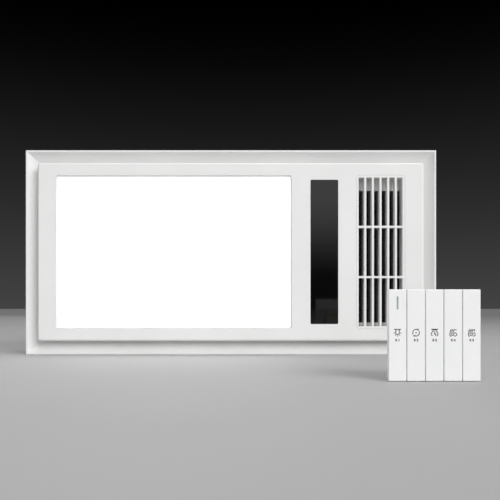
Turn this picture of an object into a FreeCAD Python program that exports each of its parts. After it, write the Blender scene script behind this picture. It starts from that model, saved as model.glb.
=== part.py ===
import FreeCAD, Part
import math
import os
import Sketcher

# Bathroom ceiling unit: heater, light panel and extractor, with its five-rocker wall switch.
# X runs right as seen from the front, Z runs up, the front faces -Y.
# The origin is the middle of the panel in the ceiling plane. Sizes are in millimetres.

os.makedirs("parts", exist_ok=True)
doc = FreeCAD.newDocument("bathroom_heater")
sheet = doc.addObject("Spreadsheet::Sheet", "dims")
pieces = []


class Size:
    # A length with its value and the sheet expression that gives it.
    def __init__(self, text, value):
        self.text = text
        self.value = value

    def __add__(self, other):
        other = as_size(other)
        return Size("(" + self.text + " + " + other.text + ")", self.value + other.value)

    def __sub__(self, other):
        other = as_size(other)
        return Size("(" + self.text + " - " + other.text + ")", self.value - other.value)

    def __mul__(self, other):
        other = as_size(other)
        return Size("(" + self.text + " * " + other.text + ")", self.value * other.value)

    def __truediv__(self, other):
        other = as_size(other)
        return Size("(" + self.text + " / " + other.text + ")", self.value / other.value)

    def __radd__(self, other):
        return as_size(other) + self

    def __rsub__(self, other):
        return as_size(other) - self

    def __rmul__(self, other):
        return as_size(other) * self

    def __neg__(self):
        return Size("(0 - " + self.text + ")", -self.value)


def as_size(length):
    if isinstance(length, Size):
        return length
    return Size(repr(float(length)), float(length))


class Dims:
    # Each value set here becomes a named cell, and is read back from the sheet as a Size.
    def __setattr__(self, name, value):
        cell = "A" + str(len(self.__dict__) + 1)
        sheet.set(cell, str(value))
        sheet.setAlias(cell, name)
        self.__dict__[name] = value

    def read_back(self):
        doc.recompute()
        for name in self.__dict__:
            self.__dict__[name] = Size("dims." + name, float(sheet.get(name)))


d = Dims()

# Panel frame
d.panel_w = 598
d.panel_h = 298
d.rim_depth = 6
d.rim_flat = 2.5
d.rim_round = 1
d.cove_w = 18
d.valley_depth = 1
d.ledge_w = 11.5
d.frame_wall = 2
d.flange_w = 7
d.hook_count = 3
d.hook_pitch = 180
d.hook_w = 14
d.hook_wall = 2
d.hook_barb = 1.2
d.hook_rise = 4.5
d.hook_gap = 0.2

# Face plate
d.plate_raise = 10
d.plate_wall = 2.5
d.plate_skirt = 9
d.plate_corner = 4
d.plate_edge = 3
d.boss_r = 4
d.boss_inset = 6
d.boss_end = 38.5
d.boss_pitch = 140
d.screw_r = 1.5
d.screw_head_r = 3.2
d.screw_gap = 0.2
d.screw_bite = 8

# Light
d.light_end = 26.4
d.light_side = 18
d.light_recess = 5
d.light_corner = 3
d.light_collar = 5
d.diffuser_wall = 2
d.diffuser_lap = 2.5
d.fit_gap = 0.2
d.tray_wall = 4
d.tray_depth = 26
d.tray_floor = 2
d.tray_ear = 14
d.tray_ear_wall = 2
d.tray_ear_w = 16
d.tray_ear_z = 80
d.tray_ear_y = -6
d.ear_bite = 5
d.board_wall = 1.6
d.strip_count = 3
d.strip_w = 14
d.strip_end = 10
d.chip_count = 12
d.chip_size = 3.5
d.chip_rise = 0.8

# Display
d.display_w = 40
d.display_gap = 27
d.display_side = 24.5
d.display_corner = 2
d.glass_wall = 2.4
d.glass_inset = 0.4
d.display_collar = 3
d.display_floor = 2.4
d.window_w = 22
d.window_h = 64
d.display_board_h = 150

# Air grille
d.grille_w = 70
d.grille_space = 26
d.grille_end = 27.6
d.grille_side = 18
d.grille_corner = 4.4
d.grille_gap = 0.25
d.grille_columns = 6
d.grille_rows = 3
d.grille_bar = 2.9
d.grille_edge = 3.1
d.grille_flange = 4
d.grille_flange_wall = 2
d.grille_collar = 1.6
d.grille_depth = 12
d.grille_sleeve = 20
d.gasket_wall = 3

# Mounting frame
d.ring_wall = 1.2
d.ring_margin = 13
d.ring_clear = 1.5
d.tab_pitch = 360
d.tab_w = 30
d.tab_rise = 30
d.tab_hole_y = 22
d.tab_hole_r = 2.75
d.tab_corner = 5
d.head_gap = 0.6

# Housing
d.sheet_wall = 1
d.box_end = 6.5
d.box_side = 12.5
d.box_depth = 156
d.pan_end = 14.5
d.pan_depth = 46
d.box_corner = 4
d.box_flange = 10
d.rib_w = 12
d.rib_rise = 1
d.rib_inset = 30
d.flange_screw_pitch = 150
d.head_rise = 1.8

# Blower
d.impeller_gap = 4
d.impeller_end = 6
d.impeller_ring_w = 9
d.impeller_ring_wall = 3
d.impeller_disc = 2
d.blade_count = 36
d.blade_reach = 10
d.blade_lean = 6
d.blade_bend = 10
d.blade_wall = 1
d.hub_r = 11
d.hub_depth = 24
d.shaft_r = 4
d.thread_r = 3
d.running_gap = 0.08
d.volute_clear = 3.5
d.volute_gap = 8
d.volute_growth = 9
d.volute_wall = 2
d.volute_flange = 9
d.volute_screw_in = 15
d.partition_y = 44
d.partition_wall = 2
d.partition_lip = 8
d.partition_gap = 0.2
d.partition_screw_pitch = 80
d.bell_r = 8
d.bell_step = 14
d.motor_r = 45
d.motor_clear = 7
d.motor_depth = 26
d.motor_cap_r = 30
d.motor_cap_depth = 6
d.motor_bevel = 3
d.motor_lug_r = 6
d.motor_lug_out = 50
d.motor_lug_wall = 3
d.motor_hole_r = 14
d.motor_lug_count = 3
d.nut_r = 6
d.nut_wall = 5
d.thread_end = 8
d.capacitor_w = 36
d.capacitor_h = 18
d.capacitor_depth = 28
d.capacitor_end = 25
d.capacitor_side = 13

# Outlet duct
d.duct_wall = 2
d.outlet_inset = 1
d.outlet_run = 112
d.chamber_reach = 54
d.chamber_floor = -8
d.throat_w = 66
d.throat_lap = 3
d.throat_drop = 6

# Heater
d.heater_y = 5
d.heater_depth = 28
d.heater_gap = 0.3
d.cap_top = 18
d.cap_bottom = 8
d.rail_wall = 1.5
d.core_inset = 4
d.tube_count = 5
d.tube_w = 2.9
d.fin_pitch = 5
d.side_plate = 0.6
d.fin_lap = 1.6
d.tag_w = 6.3
d.tag_wall = 0.8
d.tag_rise = 6
d.tag_pitch = 20
d.cutout_r = 7.5
d.cutout_depth = 6

# Diverter
d.hinge_back = 5
d.hinge_drop = 6
d.flap_gap = 1
d.flap_end = 3
d.flap_wall = 2
d.flap_rim = 3
d.flap_seal = 0.4
d.flap_barrel_r = 3.6
d.flap_shaft_r = 2.5
d.step_r = 14
d.step_depth = 19
d.step_offset = 8
d.step_lug_pitch = 35
d.step_lug_r = 3.5
d.step_lug_wall = 1.2
d.step_socket = 7

# Exhaust spigot and damper
d.spigot_end = 2
d.spigot_r = 49
d.spigot_wall = 2
d.spigot_rise = 36
d.spigot_flange_w = 112
d.spigot_flange_h = 104
d.spigot_flange_wall = 2
d.spigot_corner = 6
d.spigot_screw_in = 8
d.leaf_rise = 8
d.leaf_gap = 1.5
d.leaf_wall = 1.5
d.leaf_slot = 3.6
d.knuckle_r = 3
d.knuckle_w = 18
d.rod_r = 1.5

# Junction box and controls
d.junction_end = 74
d.junction_z = 60
d.junction_w = 84
d.junction_h = 54
d.junction_depth = 28
d.junction_flange = 8
d.block_w = 56
d.block_h = 22
d.block_depth = 16
d.way_count = 6
d.way_pitch = 9
d.way_r = 2.6
d.grommet_r = 8
d.grommet_bore = 4.5
d.grommet_head = 11
d.grommet_wall = 3
d.driver_end = 24
d.driver_gap = 8
d.driver_z = -60
d.driver_h = 42
d.driver_depth = 20
d.control_end = 42
d.control_w = 64
d.control_h = 130
d.standoff_r = 3
d.standoff_rise = 6
d.relay_w = 16
d.relay_h = 20
d.relay_rise = 15
d.relay_pitch = 26
d.relay_count = 4

# Wall switch
d.switch_x = 199
d.switch_reach = 333
d.switch_w = 86
d.rocker_count = 5
d.rocker_gap = 0.5
d.rocker_edge = 0.4
d.rocker_wall = 2.2
d.rocker_skirt = 4.5
d.rocker_round = 0.8
d.pivot_depth = 9
d.pivot_r = 1.2
d.barrel_r = 2.8
d.barrel_w = 7.6
d.web_wall = 2
d.switch_frame_y = 8
d.switch_frame_wall = 4
d.switch_frame_in = 1.5
d.switch_open_w = 80
d.switch_open_h = 46
d.base_w = 50
d.base_h = 44
d.base_depth = 26
d.base_rib = 1.4
d.base_rib_h = 12
d.ear_reach = 40.5
d.ear_h = 20
d.ear_wall = 2
d.slot_pitch = 60.3
d.slot_r = 2.1
d.slot_length = 8
d.lens_w = 1.6
d.lens_h = 12
d.lens_z = 30
d.clamp_r = 3
d.clamp_rise = 1.5
d.clamp_spread = 24

d.read_back()

# Half sizes of the panel and its plate
half_w = d.panel_w / 2
half_h = d.panel_h / 2
margin = d.rim_flat + d.cove_w
plate_x = half_w - margin
plate_z = half_h - margin

# Levels from front to back
rim_y = -d.rim_depth
plate_y = rim_y - d.plate_raise
plate_back = plate_y + d.plate_wall
skirt_y = plate_y + d.plate_skirt
valley_y = d.valley_depth
ring_y = valley_y + d.frame_wall
ring_back = ring_y + d.ring_wall
light_y = plate_y + d.light_recess
tray_back = light_y + d.tray_depth
glass_back = plate_y + d.glass_inset + d.glass_wall
board_y = glass_back + d.display_floor
grille_flange_back = plate_back + d.grille_flange_wall
duct_front = grille_flange_back + d.gasket_wall
flange_back = ring_back + d.sheet_wall
pan_inner = d.pan_depth - d.sheet_wall
box_inner = d.box_depth - d.sheet_wall
partition_back = d.partition_y + d.partition_wall
volute_back = box_inner - d.motor_clear - d.motor_cap_depth - d.motor_depth
impeller_front = partition_back + d.impeller_gap
impeller_back = volute_back - d.impeller_end
hinge_y = partition_back + d.hinge_back
flap_length = box_inner - d.flap_end - hinge_y
spigot_y = d.box_depth - d.spigot_end - d.spigot_flange_h / 2

# Places across the panel, from its right end to its left
grille_h = 2 * (plate_z - d.grille_side)
grille_x = plate_x - d.grille_end - d.grille_w / 2
display_h = 2 * (plate_z - d.display_side)
display_x = grille_x - d.grille_w / 2 - d.grille_space - d.display_w / 2
light_right = display_x - d.display_w / 2 - d.display_gap
light_left = -plate_x + d.light_end
light_x = (light_left + light_right) / 2
light_w = light_right - light_left
light_h = 2 * (plate_z - d.light_side)
tray_w = light_w + 2 * d.tray_wall
tray_h = light_h + 2 * d.tray_wall
ear_left = light_x - tray_w / 2 - d.tray_ear / 2
ear_right = light_x + tray_w / 2 + d.tray_ear / 2
strip_pitch = light_h / d.strip_count
boss_z = plate_z - d.boss_inset
boss_far = plate_x - d.boss_end
boss_near = boss_far - d.boss_pitch
hook_z = plate_z - d.hook_wall
ring_x = half_w - d.ring_margin
ring_z = half_h - d.ring_margin

# Places in the housing
box_right = plate_x - d.box_end
pan_left = -plate_x + d.pan_end
box_z = plate_z - d.box_side
box_z_in = box_z - d.sheet_wall
box_right_in = box_right - d.sheet_wall
chamber_left = grille_x - d.chamber_reach
fan_x = chamber_left - d.outlet_run
impeller_r = box_z_in - d.volute_clear - d.volute_flange - 2.5 * d.volute_growth - d.volute_gap
volute_left = fan_x - 1.5 * d.volute_growth - impeller_r - d.volute_gap - d.volute_flange
box_left = volute_left - d.volute_clear - d.sheet_wall
blade_inner_r = impeller_r - d.blade_reach
bell_eye_r = impeller_r - d.bell_step
capacitor_x = box_left + d.sheet_wall + d.capacitor_end
capacitor_z = -box_z_in + d.capacitor_side
leaf_z = box_z + d.leaf_rise
hinge_z = box_z - d.hinge_drop
throat_high = hinge_z - d.throat_drop
throat_low = hinge_z - flap_length + d.throat_lap
flap_left = chamber_left + d.duct_wall + d.flap_gap
flap_right = box_right_in - d.flap_end
junction_x = pan_left + d.junction_end
control_x = box_left - d.control_end
driver_left = pan_left + d.driver_end
driver_right = control_x - d.control_w / 2 - d.driver_gap
hole_r = d.screw_r + d.screw_gap
pilot_r = d.screw_r + d.running_gap


def bind(thing, prop, length):
    thing.setExpression(prop, as_size(length).text)


def number(length):
    return as_size(length).value


class Loop:
    # Corners in order. A corner with a radius and a turn is reached by an arc; turn 1 is anticlockwise.
    def __init__(self, *corners):
        self.corners = corners

    def draw(self, sketch):
        first = sketch.GeometryCount
        count = len(self.corners)
        places = [(as_size(corner[0]), as_size(corner[1])) for corner in self.corners]
        points = [FreeCAD.Vector(x.value, y.value, 0) for x, y in places]
        for i, corner in enumerate(self.corners):
            if len(corner) == 2:
                sketch.addGeometry(Part.LineSegment(points[i - 1], points[i]), False)
            else:
                arc = arc_between(points[i - 1], points[i], number(corner[2]), corner[3])
                sketch.addGeometry(arc, False)
        for i, corner in enumerate(self.corners):
            after = (i + 1) % count
            end = end_points(corner)[1]
            start = end_points(self.corners[after])[0]
            sketch.addConstraint(Sketcher.Constraint("Coincident", first + i, end, first + after, start))
            tie(sketch, first + i, end, places[i])
            if len(corner) == 4:
                limit(sketch, Sketcher.Constraint("Radius", first + i, number(corner[2])), corner[2])


class Circle:
    def __init__(self, x, y, radius):
        self.place = (as_size(x), as_size(y))
        self.radius = as_size(radius)

    def draw(self, sketch):
        centre = FreeCAD.Vector(self.place[0].value, self.place[1].value, 0)
        edge = sketch.addGeometry(Part.Circle(centre, FreeCAD.Vector(0, 0, 1), self.radius.value), False)
        tie(sketch, edge, 3, self.place)
        limit(sketch, Sketcher.Constraint("Radius", edge, self.radius.value), self.radius)


def arc_between(start, end, radius, turn):
    middle = (start + end) / 2
    half = (end - start).Length / 2
    across = FreeCAD.Vector(start.y - end.y, end.x - start.x, 0).normalize()
    centre = middle + across * (turn * math.sqrt(max(radius * radius - half * half, 0)))
    first, last = (start, end) if turn > 0 else (end, start)
    low = math.atan2(first.y - centre.y, first.x - centre.x)
    high = math.atan2(last.y - centre.y, last.x - centre.x)
    if high < low:
        high += 2 * math.pi
    return Part.ArcOfCircle(Part.Circle(centre, FreeCAD.Vector(0, 0, 1), radius), low, high)


def end_points(corner):
    if len(corner) == 4 and corner[3] < 0:
        return (2, 1)
    return (1, 2)


def limit(sketch, constraint, length):
    index = sketch.addConstraint(constraint)
    bind(sketch, "Constraints[" + str(index) + "]", length)


def tie(sketch, edge, point, place):
    limit(sketch, Sketcher.Constraint("DistanceX", -1, 1, edge, point, place[0].value), place[0])
    limit(sketch, Sketcher.Constraint("DistanceY", -1, 1, edge, point, place[1].value), place[1])


def rect(left, right, low, high):
    return Loop((right, low), (right, high), (left, high), (left, low))


def rounded(left, right, low, high, radius):
    return Loop(
        (right - radius, low),
        (right, low + radius, radius, 1),
        (right, high - radius),
        (right - radius, high, radius, 1),
        (left + radius, high),
        (left, high - radius, radius, 1),
        (left, low + radius),
        (left + radius, low, radius, 1),
    )


def half_rounded(flat, far, low, high, radius):
    # A plate with two rounded corners at its far side
    way = 1 if number(far) > number(flat) else -1
    return Loop(
        (far - way * radius, low),
        (far, low + radius, radius, way),
        (far, high - radius),
        (far - way * radius, high, radius, way),
        (flat, high),
        (flat, low),
    )


def centred(x, y, width, height):
    return rect(x - width / 2, x + width / 2, y - height / 2, y + height / 2)


def centred_round(x, y, width, height, radius):
    return rounded(x - width / 2, x + width / 2, y - height / 2, y + height / 2, radius)


def slot(x, y, length, radius):
    reach = length / 2 - radius
    return Loop(
        (x + reach, y - radius),
        (x + reach + radius, y, radius, 1),
        (x + reach, y + radius, radius, 1),
        (x - reach, y + radius),
        (x - reach - radius, y, radius, 1),
        (x - reach, y - radius, radius, 1),
    )


class Piece:
    # One sub-part: a body whose features are drawn on its own origin planes.
    def __init__(self, label):
        self.body = doc.addObject("PartDesign::Body", label)
        self.body.Label = label
        pieces.append(self.body)

    def datum(self, role):
        for feature in self.body.Origin.OriginFeatures:
            if feature.Role == role:
                return feature

    def sketch(self, plane, level, loops, origin=(0, 0)):
        sketch = self.body.newObject("Sketcher::SketchObject", "outline")
        sketch.AttachmentSupport = (self.datum(plane + "_Plane"), [""])
        sketch.MapMode = "FlatFace"
        level = as_size(level)
        bind(sketch, "AttachmentOffset.Base.x", origin[0])
        bind(sketch, "AttachmentOffset.Base.y", origin[1])
        bind(sketch, "AttachmentOffset.Base.z", -level if plane == "XZ" else level)
        for loop in loops:
            loop.draw(sketch)
        return sketch

    def add(self, plane, low, high, *loops, origin=(0, 0)):
        # Material between two levels across the plane
        sketch = self.sketch(plane, low, loops, origin)
        pad = self.body.newObject("PartDesign::Pad", "pad")
        pad.Profile = sketch
        bind(pad, "Length", as_size(high) - low)
        pad.Reversed = plane == "XZ"
        return pad

    def cut(self, plane, low, high, *loops, origin=(0, 0)):
        # The same span taken away
        sketch = self.sketch(plane, low, loops, origin)
        pocket = self.body.newObject("PartDesign::Pocket", "pocket")
        pocket.Profile = sketch
        bind(pocket, "Length", as_size(high) - low)
        pocket.Reversed = plane != "XZ"
        return pocket

    def turn(self, plane, level, loop, origin, remove=False):
        # A profile turned about its sketch's upright axis
        sketch = self.sketch(plane, level, [loop], origin)
        kind = "PartDesign::Groove" if remove else "PartDesign::Revolution"
        feature = self.body.newObject(kind, "turned")
        feature.Profile = sketch
        feature.ReferenceAxis = (sketch, ["V_Axis"])
        feature.Angle = 360
        return feature

    def row(self, feature, axis, length, count):
        pattern = self.body.newObject("PartDesign::LinearPattern", "row")
        pattern.Originals = [feature]
        pattern.Direction = (self.datum(axis + "_Axis"), [""])
        bind(pattern, "Length", length)
        bind(pattern, "Occurrences", count)
        self.body.Tip = pattern
        return pattern

    def around(self, feature, count):
        # Copies about the normal through the feature's own sketch origin
        pattern = self.body.newObject("PartDesign::PolarPattern", "around")
        pattern.Originals = [feature]
        pattern.Axis = (feature.Profile[0], ["N_Axis"])
        pattern.Angle = 360
        bind(pattern, "Occurrences", count)
        self.body.Tip = pattern
        return pattern

    def soften(self, radius, test):
        # Rounds every edge of the tip that passes the test
        doc.recompute()
        tip = self.body.Tip
        names = ["Edge" + str(i + 1) for i, edge in enumerate(tip.Shape.Edges) if test(edge)]
        feature = self.body.newObject("PartDesign::Fillet", "soft")
        feature.Base = (tip, names)
        bind(feature, "Radius", radius)
        return feature


def level_edge(axis, level):
    # A test for edges that lie wholly at one level
    def test(edge):
        box = edge.BoundBox
        low = getattr(box, axis + "Min")
        high = getattr(box, axis + "Max")
        return abs(low - number(level)) < 0.001 and abs(high - number(level)) < 0.001

    return test


def block(x, y, z):
    # A plain box between two levels on each axis
    box = doc.addObject("Part::Box", "block")
    for side, axis, span in (("Length", "x", x), ("Width", "y", y), ("Height", "z", z)):
        bind(box, side, as_size(span[1]) - span[0])
        bind(box, "Placement.Base." + axis, span[0])
    return box


def rod(axis, centre, low, high, radius):
    # A round bar along one axis; centre holds the other two coordinates in order
    bar = doc.addObject("Part::Cylinder", "rod")
    turns = {
        "X": FreeCAD.Rotation(FreeCAD.Vector(0, 1, 0), 90),
        "Y": FreeCAD.Rotation(FreeCAD.Vector(1, 0, 0), -90),
        "Z": FreeCAD.Rotation(),
    }
    bar.Placement = FreeCAD.Placement(FreeCAD.Vector(), turns[axis])
    bind(bar, "Radius", radius)
    bind(bar, "Height", as_size(high) - low)
    across = iter(centre)
    for name in "XYZ":
        bind(bar, "Placement.Base." + name.lower(), low if name == axis else next(across))
    return bar


def fuse(*solids):
    joined = doc.addObject("Part::MultiFuse", "joined")
    joined.Shapes = list(solids)
    return joined


def carve(base, *tools):
    result = doc.addObject("Part::Cut", "carved")
    result.Base = base
    result.Tool = tools[0] if len(tools) == 1 else fuse(*tools)
    return result


def name_piece(label, thing):
    thing.Label = label
    pieces.append(thing)
    return thing


def gather(label, solids):
    # Separate like solids kept as one node
    bundle = doc.addObject("Part::Compound", "bundle")
    bundle.Links = list(solids)
    return name_piece(label, bundle)


def screw(axis, centre, seat, tip, head):
    # A pan-head screw from its seat to its tip, with the head on the far side of the seat
    way = 1 if number(tip) < number(seat) else -1
    shank_low, shank_high = (tip, seat) if way > 0 else (seat, tip)
    head_low, head_high = (seat, seat + head) if way > 0 else (seat - head, seat)
    shank = rod(axis, centre, shank_low, shank_high, d.screw_r)
    cap = rod(axis, centre, head_low, head_high, d.screw_head_r)
    return fuse(shank, cap)


def spread(count, pitch, i):
    # The place of item i in a row that is centred on zero
    return pitch * i - pitch * (count - 1) / 2


def whole(length):
    return int(round(number(length)))


def root(length):
    return Size("sqrt(" + length.text + ")", math.sqrt(length.value))


def turned(radius, i, count):
    # The place of item i in a ring that starts at the top
    angle = as_size(i) / count
    full = 2 * math.pi * angle.value
    across = Size("sin(360 deg * " + angle.text + ")", math.sin(full))
    up = Size("cos(360 deg * " + angle.text + ")", math.cos(full))
    return (radius * across, radius * up)


# Front panel

boss_places = [
    (x, z) for z in (boss_z, -boss_z) for x in (-boss_far, -boss_near, boss_near, boss_far)
]
ear_places = [(x, z) for z in (d.tray_ear_z, -d.tray_ear_z) for x in (ear_left, ear_right)]
flange_z = box_z + d.box_flange / 2
flange_places = [
    (x, z) for z in (flange_z, -flange_z) for x in (-d.flange_screw_pitch, 0, d.flange_screw_pitch)
]
thin_head = d.ring_wall - d.fit_gap


def panel_frame():
    frame = Piece("panel_frame")
    drop = d.rim_depth + d.valley_depth
    cove_r = (d.cove_w * d.cove_w + drop * drop) / (2 * drop)
    low = -half_h
    section = Loop(
        (0, low),
        (rim_y + d.rim_round, low),
        (rim_y, low + d.rim_round, d.rim_round, -1),
        (rim_y, low + d.rim_flat),
        (valley_y, low + margin, cove_r, 1),
        (valley_y, low + margin + d.ledge_w),
        (ring_y, low + margin + d.ledge_w),
        (ring_y, low + margin),
        (0, low + d.flange_w),
    )
    profile = frame.sketch("YZ", 0, [section])
    path = frame.sketch("XZ", 0, [rect(-half_w, half_w, -half_h, half_h)])
    sweep = frame.body.newObject("PartDesign::AdditivePipe", "border")
    sweep.Profile = profile
    sweep.Spine = (path, [])
    sweep.Mode = 0
    sweep.Transition = 1
    for side in (1, -1):
        barb_y = ring_back + d.hook_gap
        hook = Loop(
            (ring_y - d.frame_wall / 2, side * hook_z),
            (ring_y - d.frame_wall / 2, side * plate_z),
            (barb_y, side * plate_z),
            (barb_y, side * (plate_z + d.hook_barb)),
            (barb_y + d.hook_rise, side * (hook_z + d.hook_wall / 2)),
            (barb_y + d.hook_rise, side * hook_z),
        )
        start = -spread(d.hook_count, d.hook_pitch, 0) - d.hook_w / 2
        first = frame.add("YZ", -start - d.hook_w, -start, hook)
        frame.row(first, "X", d.hook_pitch * (d.hook_count - 1), d.hook_count)
    frame.cut("XZ", valley_y, ring_y, *[Circle(x, z, hole_r) for x, z in boss_places])


def face_plate():
    plate = Piece("face_plate")
    outer = rounded(-plate_x, plate_x, -plate_z, plate_z, d.plate_corner)
    inner_x = plate_x - d.plate_wall
    inner_z = plate_z - d.plate_wall
    inner = rounded(-inner_x, inner_x, -inner_z, inner_z, d.plate_corner - d.plate_wall)
    plate.add("XZ", plate_y, plate_back, outer)
    plate.add("XZ", plate_back, skirt_y, outer, inner)
    plate.soften(d.plate_edge, level_edge("Y", plate_y))
    light = centred_round(light_x, 0, light_w, light_h, d.light_corner)
    light_out = centred(light_x, 0, light_w + 2 * d.light_collar, light_h + 2 * d.light_collar)
    plate.add("XZ", plate_back, light_y, light_out, light)
    plate.cut("XZ", plate_y, plate_back, light)
    display_out_w = d.display_w + 2 * d.display_collar
    display_out_h = display_h + 2 * d.display_collar
    display_out = centred(display_x, 0, display_out_w, display_out_h)
    plate.add("XZ", plate_back, glass_back + d.display_floor, display_out)
    display = centred_round(display_x, 0, d.display_w, display_h, d.display_corner)
    plate.cut("XZ", plate_y, glass_back, display)
    plate.cut("XZ", glass_back, glass_back + d.display_floor, centred(display_x, 0, d.window_w, d.window_h))
    grille = centred_round(grille_x, 0, d.grille_w, grille_h, d.grille_corner)
    plate.cut("XZ", plate_y, plate_back, grille)
    plate.add("XZ", plate_back, valley_y, *[Circle(x, z, d.boss_r) for x, z in boss_places])
    plate.add("XZ", plate_back, d.tray_ear_y, *[Circle(x, z, d.boss_r) for x, z in ear_places])
    pilots = [Circle(x, z, pilot_r) for x, z in boss_places]
    plate.cut("XZ", valley_y - d.screw_bite - d.screw_gap, valley_y, *pilots)
    pilots = [Circle(x, z, pilot_r) for x, z in ear_places]
    plate.cut("XZ", d.tray_ear_y - d.ear_bite, d.tray_ear_y, *pilots)


def plate_screws():
    tip = valley_y - d.screw_bite
    gather("plate_screws", [screw("Y", place, ring_y, tip, thin_head) for place in boss_places])


def light_diffuser():
    lap = 2 * d.diffuser_lap
    sheet_piece = Piece("light_diffuser")
    outline = centred_round(light_x, 0, light_w + lap, light_h + lap, d.diffuser_lap / 2)
    sheet_piece.add("XZ", light_y, light_y + d.diffuser_wall, outline)


def light_tray():
    tray = Piece("light_tray")
    rebate = 2 * (d.diffuser_lap + d.fit_gap)
    seat_y = light_y + d.diffuser_wall
    floor_y = tray_back - d.tray_floor
    tray.add("XZ", light_y, tray_back, centred(light_x, 0, tray_w, tray_h))
    tray.cut("XZ", light_y, seat_y, centred(light_x, 0, light_w + rebate, light_h + rebate))
    tray.cut("XZ", seat_y, floor_y, centred(light_x, 0, light_w, light_h))
    ear_w = d.tray_ear + d.tray_wall
    for x, lean in ((ear_left, 1), (ear_right, -1)):
        for z in (d.tray_ear_z, -d.tray_ear_z):
            ear = centred(x + lean * d.tray_wall / 2, z, ear_w, d.tray_ear_w)
            tray.add("XZ", d.tray_ear_y, d.tray_ear_y + d.tray_ear_wall, ear)
    holes = [Circle(x, z, hole_r) for x, z in ear_places]
    tray.cut("XZ", d.tray_ear_y, d.tray_ear_y + d.tray_ear_wall, *holes)


def tray_screws():
    seat = d.tray_ear_y + d.tray_ear_wall
    tip = d.tray_ear_y - d.ear_bite + d.screw_gap
    gather("tray_screws", [screw("Y", place, seat, tip, d.head_rise) for place in ear_places])


def light_strips():
    floor_y = tray_back - d.tray_floor
    top = floor_y - d.board_wall
    reach = light_w / 2 - d.strip_end
    chip_pitch = 2 * reach / d.chip_count
    strips = []
    chips = []
    for i in range(whole(d.strip_count)):
        z = spread(d.strip_count, strip_pitch, i)
        span = (z - d.strip_w / 2, z + d.strip_w / 2)
        strips.append(block((light_x - reach, light_x + reach), (top, floor_y), span))
        for j in range(whole(d.chip_count)):
            x = light_x + spread(d.chip_count, chip_pitch, j)
            side = d.chip_size / 2
            chips.append(block((x - side, x + side), (top - d.chip_rise, top), (z - side, z + side)))
    gather("light_boards", strips)
    gather("light_chips", chips)


def display_glass():
    glass = Piece("display_glass")
    width = d.display_w - 2 * d.fit_gap
    height = display_h - 2 * d.fit_gap
    outline = centred_round(display_x, 0, width, height, d.display_corner - d.fit_gap)
    glass.add("XZ", plate_y + d.glass_inset, glass_back, outline)


def display_board():
    board = Piece("display_board")
    board.add("XZ", board_y, board_y + d.board_wall, centred(display_x, 0, d.display_w, d.display_board_h))
    module_w = d.window_w - 2 * d.fit_gap
    module_h = d.window_h - 2 * d.fit_gap
    board.add("XZ", glass_back + d.fit_gap, board_y, centred(display_x, 0, module_w, module_h))


def air_grille():
    grille = Piece("air_grille")
    width = d.grille_w - 2 * d.grille_gap
    height = grille_h - 2 * d.grille_gap
    slots_w = width - 2 * d.grille_edge
    slots_h = height - 2 * d.grille_edge
    slot_w = (slots_w - d.grille_bar * (d.grille_columns - 1)) / d.grille_columns
    slot_h = (slots_h - d.grille_bar * (d.grille_rows - 1)) / d.grille_rows
    back = plate_y + d.grille_depth
    front = centred_round(grille_x, 0, width, height, d.grille_corner - d.grille_gap)
    flange = centred(grille_x, 0, d.grille_w + 2 * d.grille_flange, grille_h + 2 * d.grille_flange)
    collar = centred(grille_x, 0, slots_w + 2 * d.grille_collar, slots_h + 2 * d.grille_collar)
    grille.add("XZ", plate_y, plate_back, front)
    grille.add("XZ", plate_back, grille_flange_back, flange)
    grille.add("XZ", grille_flange_back, back, collar)
    sleeve_back = plate_y + d.grille_sleeve
    grille.add("XZ", back, sleeve_back, collar, centred(grille_x, 0, slots_w, slots_h))
    left = grille_x - slots_w / 2
    low = -slots_h / 2
    first = grille.cut("XZ", plate_y, back, rect(left, left + slot_w, low, low + slot_h))
    pattern = grille.row(first, "X", (slot_w + d.grille_bar) * (d.grille_columns - 1), d.grille_columns)
    pattern.Direction2 = (grille.datum("Z_Axis"), [""])
    bind(pattern, "Length2", (slot_h + d.grille_bar) * (d.grille_rows - 1))
    bind(pattern, "Occurrences2", d.grille_rows)


def duct_gasket():
    gasket = Piece("duct_gasket")
    outer = centred(grille_x, 0, d.grille_w + 2 * d.grille_flange, grille_h + 2 * d.grille_flange)
    gasket.add("XZ", grille_flange_back, duct_front, outer, centred(grille_x, 0, d.grille_w, grille_h))


# Ceiling parts


def mounting_frame():
    ring = Piece("mounting_frame")
    open_z = box_z + d.ring_clear
    opening = rect(pan_left, box_right + d.ring_clear, -open_z, open_z)
    ring.add("XZ", ring_y, ring_back, rect(-ring_x, ring_x, -ring_z, ring_z), opening)
    windows = []
    for i in range(whole(d.hook_count)):
        x = spread(d.hook_count, d.hook_pitch, i)
        reach = d.hook_w / 2 + d.head_gap
        for side in (1, -1):
            edges = sorted((side * (hook_z - d.head_gap), side * (plate_z + d.hook_gap)), key=number)
            windows.append(rect(x - reach, x + reach, *edges))
    ring.cut("XZ", ring_y, ring_back, *windows)
    heads = [Circle(x, z, d.screw_head_r + d.head_gap) for x, z in boss_places]
    ring.cut("XZ", ring_y, ring_back, *heads)
    ring.cut("XZ", ring_y, ring_back, *[Circle(x, z, pilot_r) for x, z in flange_places])
    for low, high in ((ring_z - d.ring_wall, ring_z), (-ring_z, -ring_z + d.ring_wall)):
        for side in (1, -1):
            x = side * d.tab_pitch / 2
            reach = d.tab_w / 2
            top = ring_back + d.tab_rise
            tab = Loop(
                (x + reach, ring_y),
                (x + reach, top - d.tab_corner),
                (x + reach - d.tab_corner, top, d.tab_corner, 1),
                (x - reach + d.tab_corner, top),
                (x - reach, top - d.tab_corner, d.tab_corner, 1),
                (x - reach, ring_y),
            )
            ring.add("XY", low, high, tab, Circle(x, d.tab_hole_y, d.tab_hole_r))


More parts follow.
